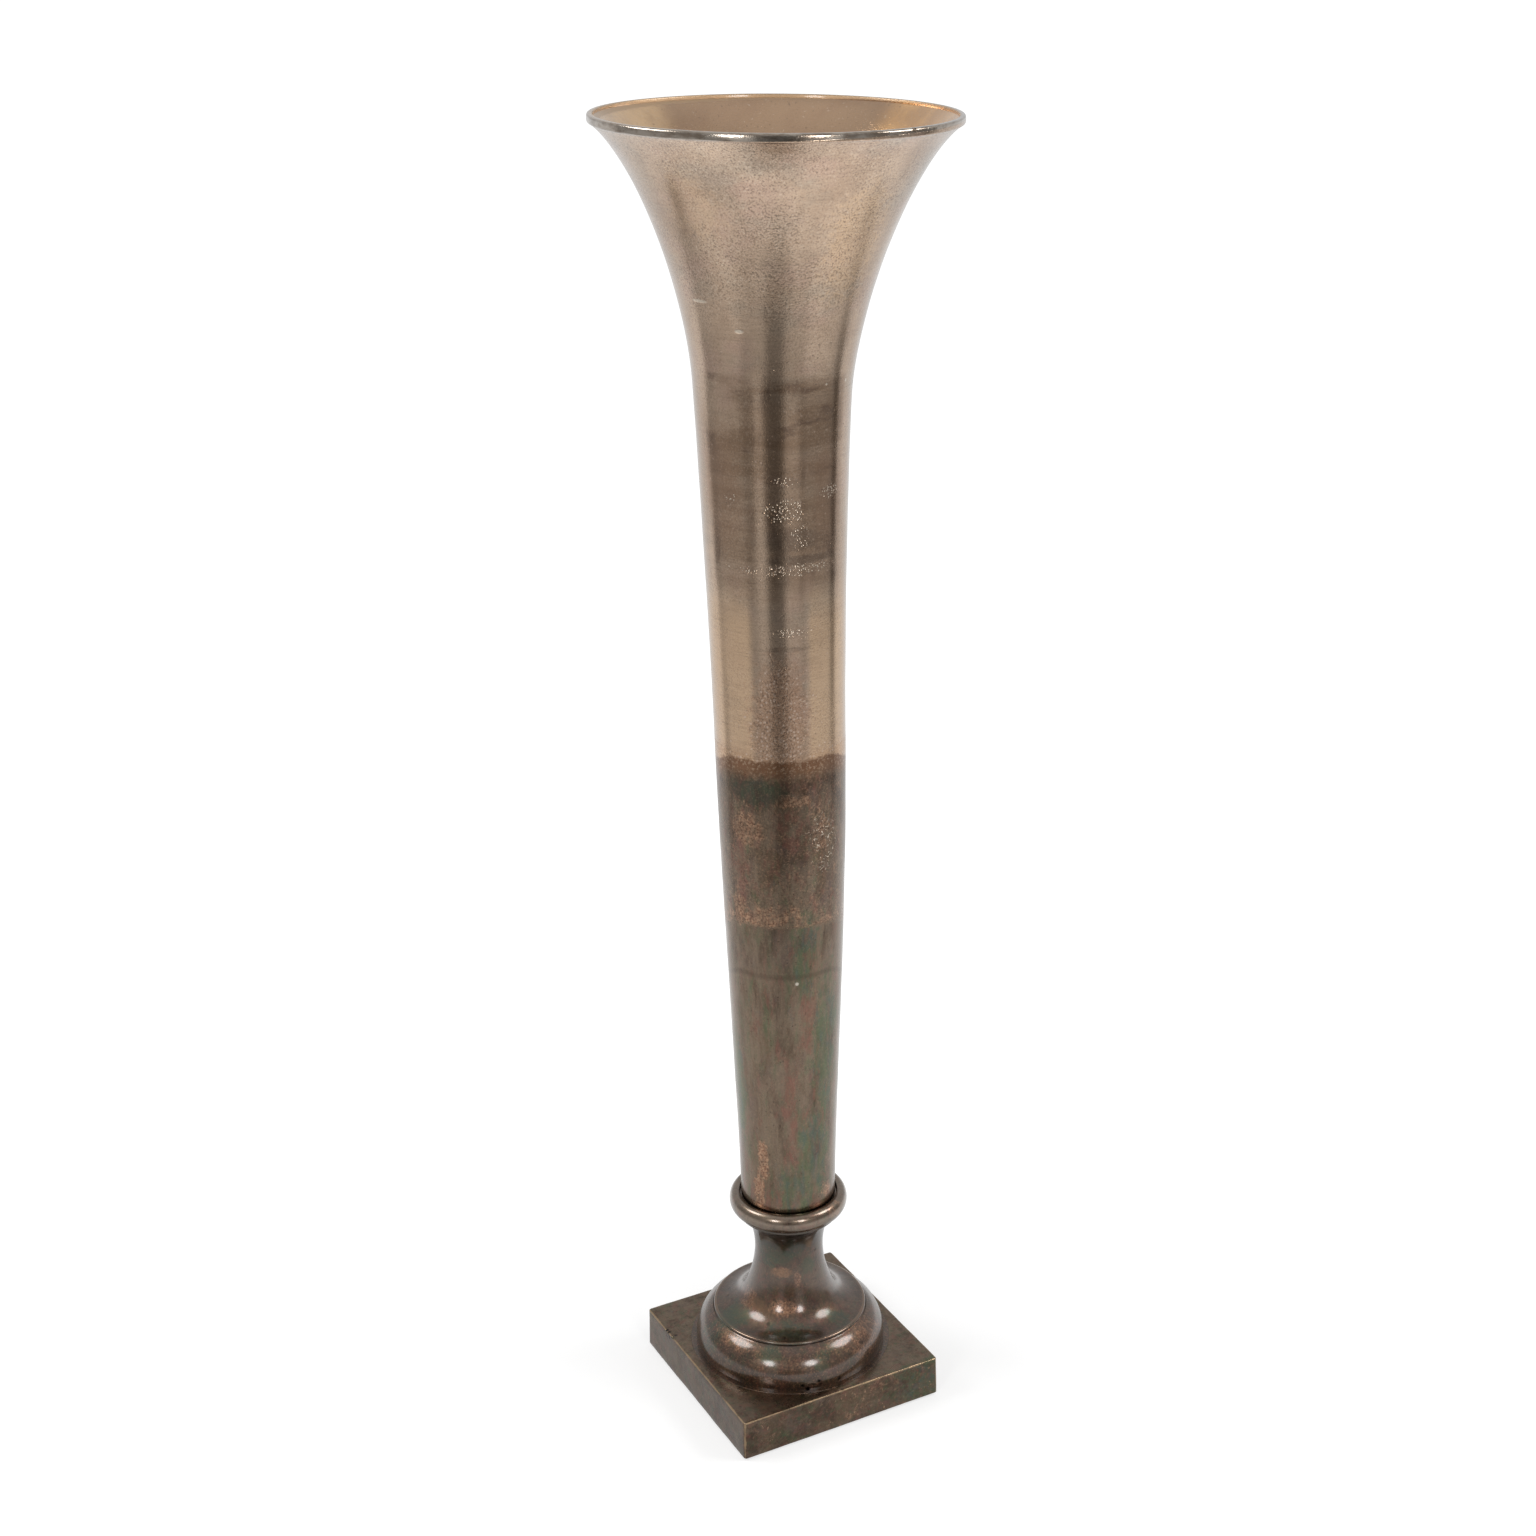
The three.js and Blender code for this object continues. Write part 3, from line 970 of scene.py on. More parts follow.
def start_group(name, inputs, outputs):
    tree = bpy.data.node_groups.new(name, "ShaderNodeTree")
    work_on(tree)
    for label, value in inputs.items():
        kind = "NodeSocketVector" if isinstance(value, tuple) else "NodeSocketFloat"
        tree.interface.new_socket(name=label, in_out="INPUT", socket_type=kind).default_value = value
    for label in outputs:
        kind = "NodeSocketColor" if label == "Colour" else "NodeSocketFloat"
        tree.interface.new_socket(name=label, in_out="OUTPUT", socket_type=kind)
    return tree, outputs_of(put("NodeGroupInput")), put("NodeGroupOutput").inputs


def use_group(group, **values):
    made = put("ShaderNodeGroup", node_tree=group)
    for label, value in values.items():
        feed(made.inputs[label.replace("_", " ")], value)
    return outputs_of(made)


def start_nodes(owner):
    owner.use_nodes = True
    owner.node_tree.nodes.clear()
    work_on(owner.node_tree)


def finish(fill_in):
    """Makes the material that a function fills in, and that takes the function's name."""
    material = bpy.data.materials.new(fill_in.__name__)
    start_nodes(material)
    output = put("ShaderNodeOutputMaterial")
    shader = put("ShaderNodeBsdfPrincipled")
    open_tree.links.new(shader.outputs[0], output.inputs["Surface"])
    fill_in(shader.inputs)
    return material


def polish(shader, colour, roughness, relief, strength, depth=0.3 * mm):
    feed(shader["Base Color"], colour)
    feed(shader["Roughness"], roughness)
    bump = {"Strength": strength, "Distance": depth, "Height": relief}
    feed(shader["Normal"], put_fed("ShaderNodeBump", 0, bump))


def clear_lacquer(shader, weight):
    shader["Metallic"].default_value = 1.0
    shader["Coat Weight"].default_value = weight
    shader["Coat Roughness"].default_value = 0.12


def hard_lacquer(shader):
    """A thicker lacquer with white glints."""
    shader["Metallic"].default_value = 1.0
    shader["Coat Weight"].default_value = 1.0
    shader["Coat Roughness"].default_value = 0.155
    shader["Coat IOR"].default_value = 1.62


def wear(piece, material):
    piece.data.materials.clear()
    piece.data.materials.append(material)


# Finishes: effects shared by several finishes

def pore_group():
    """Open sand pores: scattered pits, more of them where the coverage is high."""
    tree, given, result = start_group(
        "casting_pores", {"Pore spacing": 400.0, "Coverage": 0.3}, ("Pores", "Tone")
    )
    place = place_on_piece()
    shift = vector_maths("MULTIPLY", noise(place, 700.0, 2.0, output="Color"), (0.0002,) * 3)
    cells = put("ShaderNodeTexVoronoi")
    feed(cells.inputs["Vector"], vector_maths("ADD", place, shift))
    feed(cells.inputs["Scale"], given["Pore spacing"])
    cell = outputs_of(cells)
    pick = split(cell["Color"])[0]
    is_open = ramp(given["Coverage"] - pick, -0.08, 0.08)
    feed(result["Pores"], ramp(cell["Distance"], 0.12, 0.5, 1.0, 0.0) * is_open)
    feed(result["Tone"], pick)
    return tree


def line_group():
    """Fine short lines round the piece, left by turning and polishing."""
    tree, given, result = start_group("turning_lines", {"Line spacing": 420.0}, ("Lines",))
    x, y, z = split(place_on_piece())
    drawn_out = joined(x * 26.0, y * 26.0, z * given["Line spacing"])
    feed(result["Lines"], noise(drawn_out, 1.0, 3.0, 0.62))
    return tree


def patch_group():
    """A ragged oval patch on a turned piece, at a place and turned to face outwards there."""
    sizes = {"Half width": 0.02, "Half height": 0.02, "Ragged": 0.5}
    tree, given, result = start_group(
        "ragged_patch", {"Place": (0, 0, 0), "Facing": 0.0, **sizes}, ("Patch",)
    )
    place = place_on_piece()
    turn = {"Vector": vector_maths("SUBTRACT", place, given["Place"]), "Angle": given["Facing"]}
    out, across, up = split(put_fed("ShaderNodeVectorRotate", 0, turn, rotation_type="Z_AXIS"))
    scaled = joined(out / patch_reach, across / given["Half width"], up / given["Half height"])
    rough = noise(place, 160.0, 5.0, 0.62) - 0.5
    distance = vector_maths("LENGTH", scaled) + rough * given["Ragged"]
    feed(result["Patch"], ramp(distance, 1.15, 0.5))
    return tree


patch_reach = 45 * mm
casting_pores = pore_group()
turning_lines = line_group()
ragged_patch = patch_group()


def pores(spacing, coverage):
    return use_group(casting_pores, Pore_spacing=spacing, Coverage=coverage)["Pores"]


def patch(turn, height, half_width, half_height, ragged=1.6, radius=None):
    """A patch by its turn from the front in degrees and its height and half sizes in mm."""
    angle = front_angle + math.radians(turn)
    out = body_radius(height * mm) if radius is None else radius * mm
    place = (out * math.cos(angle), out * math.sin(angle), height * mm)
    return use_group(
        ragged_patch, Place=place, Facing=-angle,
        Half_width=half_width * mm, Half_height=half_height * mm, Ragged=ragged,
    )["Patch"]


def patches(ragged, *rows):
    """Patches that are equally ragged: turn, height, half width, half height and perhaps radius."""
    return most(*[patch(*row[:4], ragged, *row[4:]) for row in rows])


# Champagne metal of the shaft and bell

champagne_pale = (0.63, 0.462, 0.33)
champagne_deep = (0.50, 0.352, 0.243)
champagne_pink = (0.58, 0.395, 0.30)
champagne_grey = (0.47, 0.372, 0.28)
champagne_gold = (0.75, 0.515, 0.32)
front_reflection_dusk = (0.318, 0.203, 0.125)
champagne_brown = (0.38, 0.228, 0.142)
grain_brown = (0.54, 0.325, 0.205)
grain_glint_pink = (0.78, 0.585, 0.46)
pore_shadow = (0.15, 0.10, 0.068)
# A pale for painted glints on grain, pits, trunk and inside, and for bright scratches
glint_and_scratch_pale = (0.88, 0.76, 0.62)
shaft_shade = (0.21, 0.13, 0.084)
inside_gold = (0.84, 0.57, 0.32)
inside_amber = (0.92, 0.54, 0.24)
inside_taupe = (0.50, 0.325, 0.20)
inner_lip = (0.52, 0.365, 0.225)
rim_silver = (0.45, 0.39, 0.33)
rim_tarnish = (0.26, 0.20, 0.15)
colour_line = 666 * mm
dusk_bottom = 806 * mm
dusk_top = 1004 * mm


def champagne_layers(with_marks=True):
    """Colour, roughness and relief of the champagne casting, with the marks of the shaft and bell."""
    place = place_on_piece()
    height = split(place)[2]
    cosine = facing(place, tuple(front))
    sideways = ramp(cosine, 0.935, 0.885)
    drift = noise(place, 18.0, 5.0, 0.62)
    clouds = noise(stretched(place, 1, 1, 0.6), 15.0, 6.0, 0.62, 0.5)
    brushed = noise(stretched(place, 0.2, 0.2, 1, (1, 5, 2)), 60.0, 7.0, 0.66)
    lines = use_group(turning_lines, Line_spacing=620.0)["Lines"]
    colour = blend(ramp(clouds, 0.36, 0.62), champagne_deep, champagne_pale)
    pink = ramp(noise(stretched(place, 1, 1, 1.4, (3, 1, 7)), 22.0, 5.0, 0.6), 0.46, 0.68)
    colour = blend(0.7 * pink, colour, champagne_pink)
    grey = ramp(noise(stretched(place, 1, 1, 1.4, (8, 4, 2)), 19.0, 5.0, 0.6), 0.48, 0.68)
    colour = blend(0.7 * grey, colour, champagne_grey)

    # Golden low on both sides: painted reflection, the shaft's sides low down are gold while the strip
    # facing the camera is not
    side_gold_reflection = ramp(height, 836 * mm, 780 * mm) * sideways
    colour = blend(0.8 * side_gold_reflection, colour, champagne_gold)
    if with_marks:
        colour = shaft_and_bell_tones(colour, height, cosine, brushed)
    colour = blend(ramp(brushed, 0.56, 0.70, 0.0, 0.2), colour, champagne_brown)

    # Grain: all over the bell, in a patch over the colour line, faint on the polished shaft
    granular = most(patch(-2, 698, 29, 70, 1.3), ramp(height, colour_line + 18 * mm, colour_line, 0.0, 0.6))
    on_bell = ramp(height, 1010 * mm, 1110 * mm, 0.45, 1.0)
    peel = most(on_bell * ramp(drift, 0.36, 0.60, 0.45, 1.0), granular)
    colour = blend(0.75 * granular, colour, grain_brown)
    # Dark specks on the grain, and pale specks that are painted glints
    speck = noise(place, 620.0, 2.5, 0.62)
    dark_speck = ramp(speck, 0.47, 0.37) * peel
    glint_speck = ramp(speck, 0.55, 0.66) * peel
    colour = blend(0.66 * dark_speck, colour, pore_shadow)
    colour = blend(0.32 * glint_speck, colour, glint_and_scratch_pale)
    # Cast beads in the grainy patch, painted pale pink as glints
    colour = blend(0.9 * pores(330.0, 0.62 * granular), colour, grain_glint_pink)
    colour = blend(ramp(lines, 0.45, 0.72, 0.0, 0.13), colour, pore_shadow)
    roughness = ramp(clouds, 0.3, 0.7, 0.20, 0.15) + 0.04 * peel
    relief = 0.25 * lines + speck * ramp(peel, 0.0, 1.0, 0.2, 1.5)
    if with_marks:
        colour, relief = pits_and_scratches(colour, relief, drift)
    return colour, roughness, relief


def shaft_and_bell_tones(colour, height, cosine, brushed):
    """Gold on the bell; on the shaft's front a darker zone with its blots, a painted reflection of the dim
    room; smears; painted highlight streaks; brown side patches that are painted reflections.
    """
    place = place_on_piece()
    golden = most(0.8 * patch(40, 1110, 30, 60), 0.5 * patch(-36, 1140, 30, 30, 1.8))
    colour = blend(0.8 * golden, colour, champagne_gold)
    # Painted reflection: the darker zone on the shaft's front, facing the camera, stands in for the dim
    # room mirrored there
    level = height + (brushed - 0.5) * (40 * mm)
    dark_front_reflection = ramp(level, dusk_bottom, dusk_bottom + 22 * mm) * ramp(level, dusk_top, dusk_top - 20 * mm)
    dark_front_reflection = dark_front_reflection * ramp(patch(-48, 972, 30, 26, 0.8), 0.0, 1.0, 1.0, 0.3)
    dark_front_reflection = dark_front_reflection * ramp(brushed, 0.40, 0.62, 1.0, 0.45)
    dark_front_reflection = dark_front_reflection * ramp(cosine, 0.46, 0.58)
    dark_front_reflection = dark_front_reflection * ramp(height, 850 * mm, 960 * mm, 0.7, 1.0)
    colour = blend(dark_front_reflection, colour, front_reflection_dusk)
    smears = most(
        patch(14, 846, 40, 5, 1.0),
        0.8 * patch(8, 864, 34, 11, 1.3),
        0.7 * patch(2, 768, 24, 3, 1.2),
        0.35 * patch(-1, 1176, 22, 7, 1.4),
        0.3 * patch(-21, 1158, 20, 20),
    )
    colour = blend(0.62 * smears, colour, pore_shadow)
    # Blots, faint all over and stronger inside the painted reflection zone
    upright_blots = noise(stretched(place, 1, 1, 0.3, (6, 2, 9)), 48.0, 7.0, 0.66, 0.4)
    level_blots = noise(stretched(place, 0.5, 0.5, 1.6, (2, 8, 4)), 44.0, 7.0, 0.66, 0.3)
    blots = most(ramp(upright_blots, 0.50, 0.66), ramp(level_blots, 0.54, 0.68))
    colour = blend(blots * ramp(dark_front_reflection, 0.1, 0.8, 0.12, 0.82), colour, shaft_shade)
    # Painted highlights: two tall pale streaks down the shaft's front stand in for the lamps mirrored there
    painted_highlight_streaks = most(patch(-14, 800, 9, 115, 0.9), 0.8 * patch(3, 760, 7, 125, 0.9))
    colour = blend(0.6 * painted_highlight_streaks, colour, champagne_pale)
    # Painted reflection: brown patches on both sides of the shaft stand in for the room mirrored there
    brown = patches(0.9, (-46, 905, 22, 60), (42, 900, 18, 48))
    return blend(0.5 * brown, colour, champagne_brown)


def pits_and_scratches(colour, relief, drift):
    """Clusters of open pits, some painted pale as glints, a few pores elsewhere, and bright scratches."""
    clusters = most(
        patch(5, 889, 19, 12, 1.3),
        patches(1.5, (5, 914, 10, 5), (44, 901, 12, 7), (15, 838, 40, 6)),
        0.6 * patch(-38, 897, 7, 9, 1.5),
        0.7 * patch(18, 867, 9, 12),
        patch(11, 783, 17, 4),
        0.5 * patch(-30, 838, 26, 5),
        0.9 * patch(148, 884, 18, 10, 1.4),
        0.8 * patches(1.5, (-126, 846, 28, 6), (104, 796, 14, 5)),
    )
    pitted = use_group(casting_pores, Pore_spacing=600.0, Coverage=0.95 * clusters)
    pits = pitted["Pores"]
    few = pores(420.0, ramp(drift, 0.50, 0.8, 0.01, 0.2))
    lit_pit = pits * ramp(pitted["Tone"], 0.20, 0.26)
    colour = blend(0.15 * clusters, colour, pore_shadow)
    colour = blend(0.5 * most(pits, few), colour, pore_shadow)
    colour = blend(0.95 * lit_pit, colour, glint_and_scratch_pale)
    marks = most(
        patch(-48.5, 1061, 9.5, 1.6, 0.5),
        patch(-23, 1039, 4.2, 1.9, 0.3),
        patches(0.2, (60, 991, 1.6, 1.6), (37.5, 992, 1.2, 1.2)),
    )
    colour = blend(0.75 * marks, colour, glint_and_scratch_pale)
    return colour, relief + marks - 0.8 * few - pits


@finish
def champagne_casting(shader):
    colour, roughness, relief = champagne_layers()
    clear_lacquer(shader, 0.8)
    polish(shader, colour, roughness, relief, 0.5)


@finish
def champagne_bell_with_polished_rim(shader):
    """Champagne outside, golden inside, with a polished rim. The inside's tones by side and its pale flecks
    are partly painted light.
    """
    colour, roughness, relief = champagne_layers()
    place = place_on_piece()
    height = split(place)[2]
    flat = from_axis(place)
    radius = vector_maths("LENGTH", flat)
    lip = ramp(height, rim_top - 6 * mm, rim_top - 5.4 * mm) * ramp(radius, 148.4 * mm, 149.0 * mm)
    faces = Varying(put("ShaderNodeNewGeometry").outputs["Normal"])
    outward = vector_maths("DOT_PRODUCT", faces, vector_maths("NORMALIZE", flat))
    inside = ramp(outward, 0.02, -0.02)
    dull_lip = ramp(height, rim_top - 4.5 * mm, rim_top - 3 * mm) * ramp(outward, 0.1, -0.3)
    lip = lip * ramp(outward, -0.4, 0.1)
    inside_tone = noise(place, 24.0, 5.0, 0.6)
    # The golden inside is partly its own colour and partly painted light: paler than the outside metal,
    # taupe towards the ends and amber towards the right as seen from the front, with pale flecks as painted
    # glints
    ends = ramp(facing(place, tuple(front)), -0.80, -0.66)
    to_right = ramp(vector_maths("DOT_PRODUCT", place, tuple(right)), 0.0, 90 * mm)
    golden = blend(ends, inside_taupe, blend(to_right, inside_gold, inside_amber))
    golden = blend(ramp(inside_tone, 0.42, 0.68, 0.0, 0.4), golden, champagne_brown)
    fleck = noise(place, 330.0, 3.0, 0.6)
    golden = blend(ramp(fleck, 0.62, 0.72, 0.0, 0.3), golden, glint_and_scratch_pale)
    golden = blend(ramp(fleck, 0.36, 0.28, 0.0, 0.5), golden, pore_shadow)
    colour = blend(0.92 * inside, colour, golden)
    tarnish = ramp(noise(stretched(place, 1, 1, 3), 60.0, 6.0, 0.65), 0.40, 0.62)
    silver = blend(tarnish, rim_silver, rim_tarnish)
    colour = blend(0.9 * dull_lip, colour, inner_lip)
    roughness = between(dull_lip, between(lip, roughness, 0.17), 0.5)
    relief = relief * ramp(lip, 0.0, 1.0, 1.0, 0.4)
    clear_lacquer(shader, 0.8)
    polish(shader, blend(lip, colour, silver), roughness, relief, 0.5)


# Bronze patina of the trunk, collar, foot and plinth

bronze_dark = (0.068, 0.042, 0.026)
bronze_mid = (0.150, 0.100, 0.062)
bronze_taupe = (0.215, 0.160, 0.112)
bronze_mauve = (0.155, 0.106, 0.096)
copper_rub = (0.45, 0.275, 0.175)
copper_deep = (0.23, 0.112, 0.065)
verdigris = (0.075, 0.125, 0.060)
slate_teal = (0.070, 0.105, 0.100)
oxide_red = (0.23, 0.090, 0.068)
bead_rub_and_highlight = (0.42, 0.31, 0.23)
foot_moss = (0.050, 0.072, 0.036)
foot_smear = (0.24, 0.125, 0.06)
foot_tan = (0.66, 0.575, 0.50)
neck_shade = (0.040, 0.036, 0.024)
joint_pit_black = (0.01, 0.008, 0.006)
line_rust = (0.25, 0.12, 0.06)
slate_shade = (0.050, 0.058, 0.046)
chip_pale = (0.55, 0.50, 0.42)
edge_gold = (0.46, 0.32, 0.19)
gouge_black = (0.008, 0.005, 0.004)
bead_crest = 72.2 * mm
copper_line = 509 * mm
faint_line = 456 * mm
gouge_place = (-102.5 * mm, 57.7 * mm, 42 * mm)


def patina_group():
    """Dark bronze patina: pale streaks, green and red tints, copper rubbed through in specks, dark pits."""
    amounts = {"Copper": 0.5, "Green": 0.5, "Red": 0.5, "Pale": 0.5, "Grain": 0.5, "Drawn": 1.0}
    tree, given, result = start_group("bronze_patina", amounts, ("Colour", "Gloss", "Relief"))
    place = place_on_piece()
    x, y, z = split(place)
    drawn = joined(x, y, z * given["Drawn"])

    def tint(amount, shift, scale, low, high, reach):
        """A mask of soft fine spots that spread as their amount grows."""
        spots = noise(stretched(drawn, 1, 1, 1, shift), scale, 8.0, 0.72, 0.4)
        return ramp(spots + (amount - 0.5) * reach, low, high)

    clouds = noise(drawn, 34.0, 8.0, 0.68, 0.6)
    fine = noise(stretched(drawn, 1, 1, 1, (3, 9, 5)), 210.0, 5.0, 0.68)
    grain = noise(place, 520.0, 4.0, 0.7)
    colour = blend(ramp(clouds, 0.36, 0.64), bronze_dark, bronze_mid)
    colour = blend(0.6 * tint(0.5, (4, 4, 1), 46.0, 0.46, 0.68, 0.0), colour, bronze_mauve)
    colour = blend(0.85 * tint(given["Pale"], (1, 2, 3), 84.0, 0.36, 0.70, 0.4), colour, bronze_taupe)
    colour = blend(0.62 * tint(given["Green"], (5, 1, 4), 96.0, 0.46, 0.72, 0.42), colour, verdigris)
    colour = blend(0.5 * tint(given["Green"], (8, 6, 2), 120.0, 0.54, 0.76, 0.36), colour, slate_teal)
    colour = blend(0.6 * tint(given["Red"], (2, 7, 1), 120.0, 0.50, 0.74, 0.40), colour, oxide_red)
    streak = ramp(given["Drawn"], 0.3, 0.6, 0.35, 1.0)
    colour = blend(streak * ramp(fine, 0.50, 0.30, 0.0, 0.5), colour, bronze_dark)
    colour = blend(streak * ramp(fine, 0.54, 0.72, 0.0, 0.35), colour, bronze_taupe)
    copper = tint(given["Copper"], (9, 3, 6), 150.0, 0.50, 0.76, 0.55)
    rubbed = blend(ramp(grain, 0.40, 0.60), copper_deep, copper_rub)
    colour = blend(copper * ramp(fine, 0.34, 0.58, 0.35, 0.95), colour, rubbed)
    colour = blend(0.6 * (ramp(grain, 0.53, 0.66) * given["Grain"]), colour, copper_rub)
    colour = blend(0.75 * (ramp(grain, 0.47, 0.34) * given["Grain"]), colour, bronze_dark)
    pits = pores(430.0, 0.35 * copper + 0.04)
    feed(result["Colour"], blend(0.8 * pits, colour, bronze_dark))
    feed(result["Gloss"], ramp(clouds, 0.3, 0.7, 0.24, 0.34))
    feed(result["Relief"], grain * ramp(given["Grain"], 0.0, 1.0, 0.25, 1.0) - pits)
    return tree


bronze_patina = patina_group()


@finish
def patinated_foot(shader):
    """Patina of the foot, with copper and green patches where they are on the real one."""
    place = place_on_piece()
    height = split(place)[2]
    copper = most(
        patch(-12, 133, 11, 7, 1.0, 33),
        patch(13, 126, 4, 9, 1.4, 35),
        patch(-62, 98, 12, 9, 1.6, 45),
        0.7 * patch(60, 66, 30, 18, 1.4, 88),
        0.5 * patch(-42, 74, 24, 9, 1.4, 83),
        patch(-10, 100, 16, 8, 1.8, 43),
    )
    green = patches(
        1.2, (-40, 150, 14, 16, 32), (5, 160, 16, 12, 33), (-60, 84, 20, 12, 65), (0, 85, 26, 7, 63),
        (50, 85, 12, 8, 66), (-63, 65, 18, 16, 89), (-13, 74, 12, 7, 84), (22, 70, 8, 6, 86),
    )
    on_torus = ramp(height, 81 * mm, 77 * mm, 0.36, 1.0)
    patina = use_group(
        bronze_patina, Copper=0.50 * copper + 0.44, Green=0.52 * green + 0.46,
        Red=0.62, Pale=0.34, Grain=on_torus, Drawn=0.8,
    )
    joint_pits = pores(170.0, 0.8 * patch(20, 45, 30, 6, 0.6, 94))
    # A worn bead crest, painted paler also to stand in for the bright highlight line along it
    off_crest = maths("ABSOLUTE", vector_maths("LENGTH", from_axis(place)) - bead_crest)
    crest = ramp(off_crest, 1.3 * mm, 0.9 * mm) * ramp(height, 79.3 * mm, 80.3 * mm)
    colour = blend(0.5 * crest, patina["Colour"], bead_rub_and_highlight)
    colour = blend(ramp(height, 150 * mm, 172 * mm, 0.0, 0.6), colour, neck_shade)
    colour = blend(1.0, colour, foot_tan, "MULTIPLY")
    moss = patches(
        1.2, (-14, 150, 15, 9, 33), (34, 138, 8, 12, 34), (-60, 84, 15, 8, 65),
        (-14, 72, 12, 6, 85), (20, 62, 9, 5, 92),
    )
    colour = blend(0.5 * moss, colour, foot_moss)
    smear = most(patch(-12, 133, 12, 5, 1.0, 33), 0.6 * patch(-44, 98, 16, 6, 1.4, 46))
    colour = blend(0.6 * smear, colour, foot_smear)
    colour = blend(joint_pits, colour, joint_pit_black)
    roughness = between(crest, patina["Gloss"] + 0.12, 0.16)
    hard_lacquer(shader)
    feed(shader["Coat Weight"], 1.0 - joint_pits)
    polish(shader, colour, roughness, patina["Relief"] - 3.0 * joint_pits, 0.55)


@finish
def patinated_collar(shader):
    copper = 0.4 * patch(53, 203, 14, 9, 1.5, 54) + 0.28
    patina = use_group(bronze_patina, Copper=copper, Green=0.40, Red=0.54, Pale=0.82, Grain=0.22, Drawn=0.8)
    hard_lacquer(shader)
    polish(shader, patina["Colour"], patina["Gloss"], patina["Relief"], 0.3, 0.25 * mm)


@finish
def patinated_trunk(shader):
    """Patina of the trunk, with champagne metal left above the colour line."""
    place = place_on_piece()
    height = split(place)[2]
    level = height + ramp(facing(place, tuple(front)), 0.75, 0.15, 0.0, 12 * mm)
    line = level + (noise(place, 150.0, 8.0, 0.75) - 0.5) * (12 * mm)
    bare = ramp(line, colour_line - 2 * mm, colour_line + 2 * mm)
    fringe = ramp(line, colour_line - 22 * mm, colour_line - 6 * mm)
    fringe = fringe * ramp(line, colour_line + 5 * mm, colour_line - 1 * mm)
    ragged_level = level + (noise(place, 110.0, 6.0, 0.7) - 0.5) * (10 * mm)
    lower_zone = ramp(ragged_level, copper_line, copper_line - 5 * mm)
    lowest_zone = ramp(level, faint_line + 0.5 * mm, faint_line - 2 * mm)

    def by_zone(above, below):
        """One value above the zone's ragged edge and another below it."""
        return ramp(lower_zone, 0.0, 1.0, above, below)

    copper_band = ramp(ragged_level, copper_line - 9 * mm, copper_line + 1 * mm)
    copper_band = copper_band * ramp(ragged_level, copper_line + 25 * mm, copper_line + 15 * mm)
    copper_band = copper_band * ramp(noise(place, 26.0), 0.40, 0.56)
    copper_spots = most(
        patches(1.5, (150, 590, 20, 28), (-104, 566, 16, 24), (-134, 300, 8, 40), (118, 236, 9, 24)),
        patches(1.5, (-30, 262, 7, 26), (-37, 226, 7, 26)),
        patch(-34, 600, 19, 18, 1.3),
        patch(-46, 521, 9, 20, 1.4),
        patch(8, 628, 22, 7, 1.8),
        patch(52, 222, 8, 10),
        0.5 * patch(36, 596, 15, 40, 1.8),
        0.75 * copper_band,
    )
    copper = copper_spots * by_zone(0.40, 0.72) + by_zone(0.46, 0.28)
    green_spots = most(
        patch(-24, 636, 26, 18, 1.0),
        patch(165, 622, 26, 22, 1.2),
        patches(1.4, (-140, 255, 24, 66), (128, 420, 18, 60), (30, 265, 24, 66), (20, 480, 14, 50)),
        patches(1.4, (46, 380, 18, 90), (-66, 330, 14, 70), (6, 228, 22, 30)),
    )
    green = 0.36 * green_spots + by_zone(0.38, 0.45)
    red_spots = patches(
        1.6, (23, 402, 10, 36), (2, 320, 9, 70), (-40, 222, 26, 18),
        (48, 212, 20, 12), (6, 600, 12, 24), (-44, 560, 12, 40),
    )
    red = 0.28 * red_spots + by_zone(0.54, 0.50)
    pale = between(lower_zone, ramp(height, 610 * mm, 550 * mm, 0.58, 0.72), 0.60) + 0.08 * lowest_zone
    dark_spots = most(
        patch(-22, 636, 32, 16, 1.2),
        patch(22, 642, 36, 10, 1.4),
        patches(1.6, (14, 578, 34, 13), (-14, 566, 16, 24), (44, 548, 14, 30)),
        0.6 * patch(44, 330, 20, 110, 1.4),
    )
    patina = use_group(
        bronze_patina, Copper=copper, Green=green, Red=red, Pale=pale - 0.34 * dark_spots,
        Grain=by_zone(0.66, 0.26), Drawn=by_zone(0.5, 0.30),
    )
    gold_fleck = fringe * ramp(noise(place, 420.0, 3.0, 0.6), 0.52, 0.62)
    colour = blend(0.42 * patch(-22, 637, 34, 15, 1.2), patina["Colour"], slate_shade)
    colour = blend(0.75 * fringe, colour, line_rust)
    colour = blend(0.6 * gold_fleck, colour, champagne_deep)
    seam_shade = ramp(level, faint_line - 4 * mm, faint_line)
    seam_shade = seam_shade * ramp(level, faint_line + 5 * mm, faint_line + 1 * mm)
    colour = blend(0.35 * seam_shade, colour, bronze_dark)
    glints = patch(40, 585, 16, 34, 2.4) * ramp(noise(place, 260.0, 3.0, 0.6, 1.5), 0.60, 0.66)
    colour = blend(0.8 * glints, colour, glint_and_scratch_pale)
    colour = blend(patch(11.4, 450, 1.9, 1.9, 0.2), colour, chip_pale)
    metal, roughness, relief = champagne_layers(with_marks=False)
    colour = blend(bare, colour, metal)
    roughness = between(bare, patina["Gloss"] - 0.02, roughness)
    relief = between(bare, patina["Relief"] + 2.0 * glints, relief)
    clear_lacquer(shader, 0.35)
    polish(shader, colour, roughness, relief, 0.45)


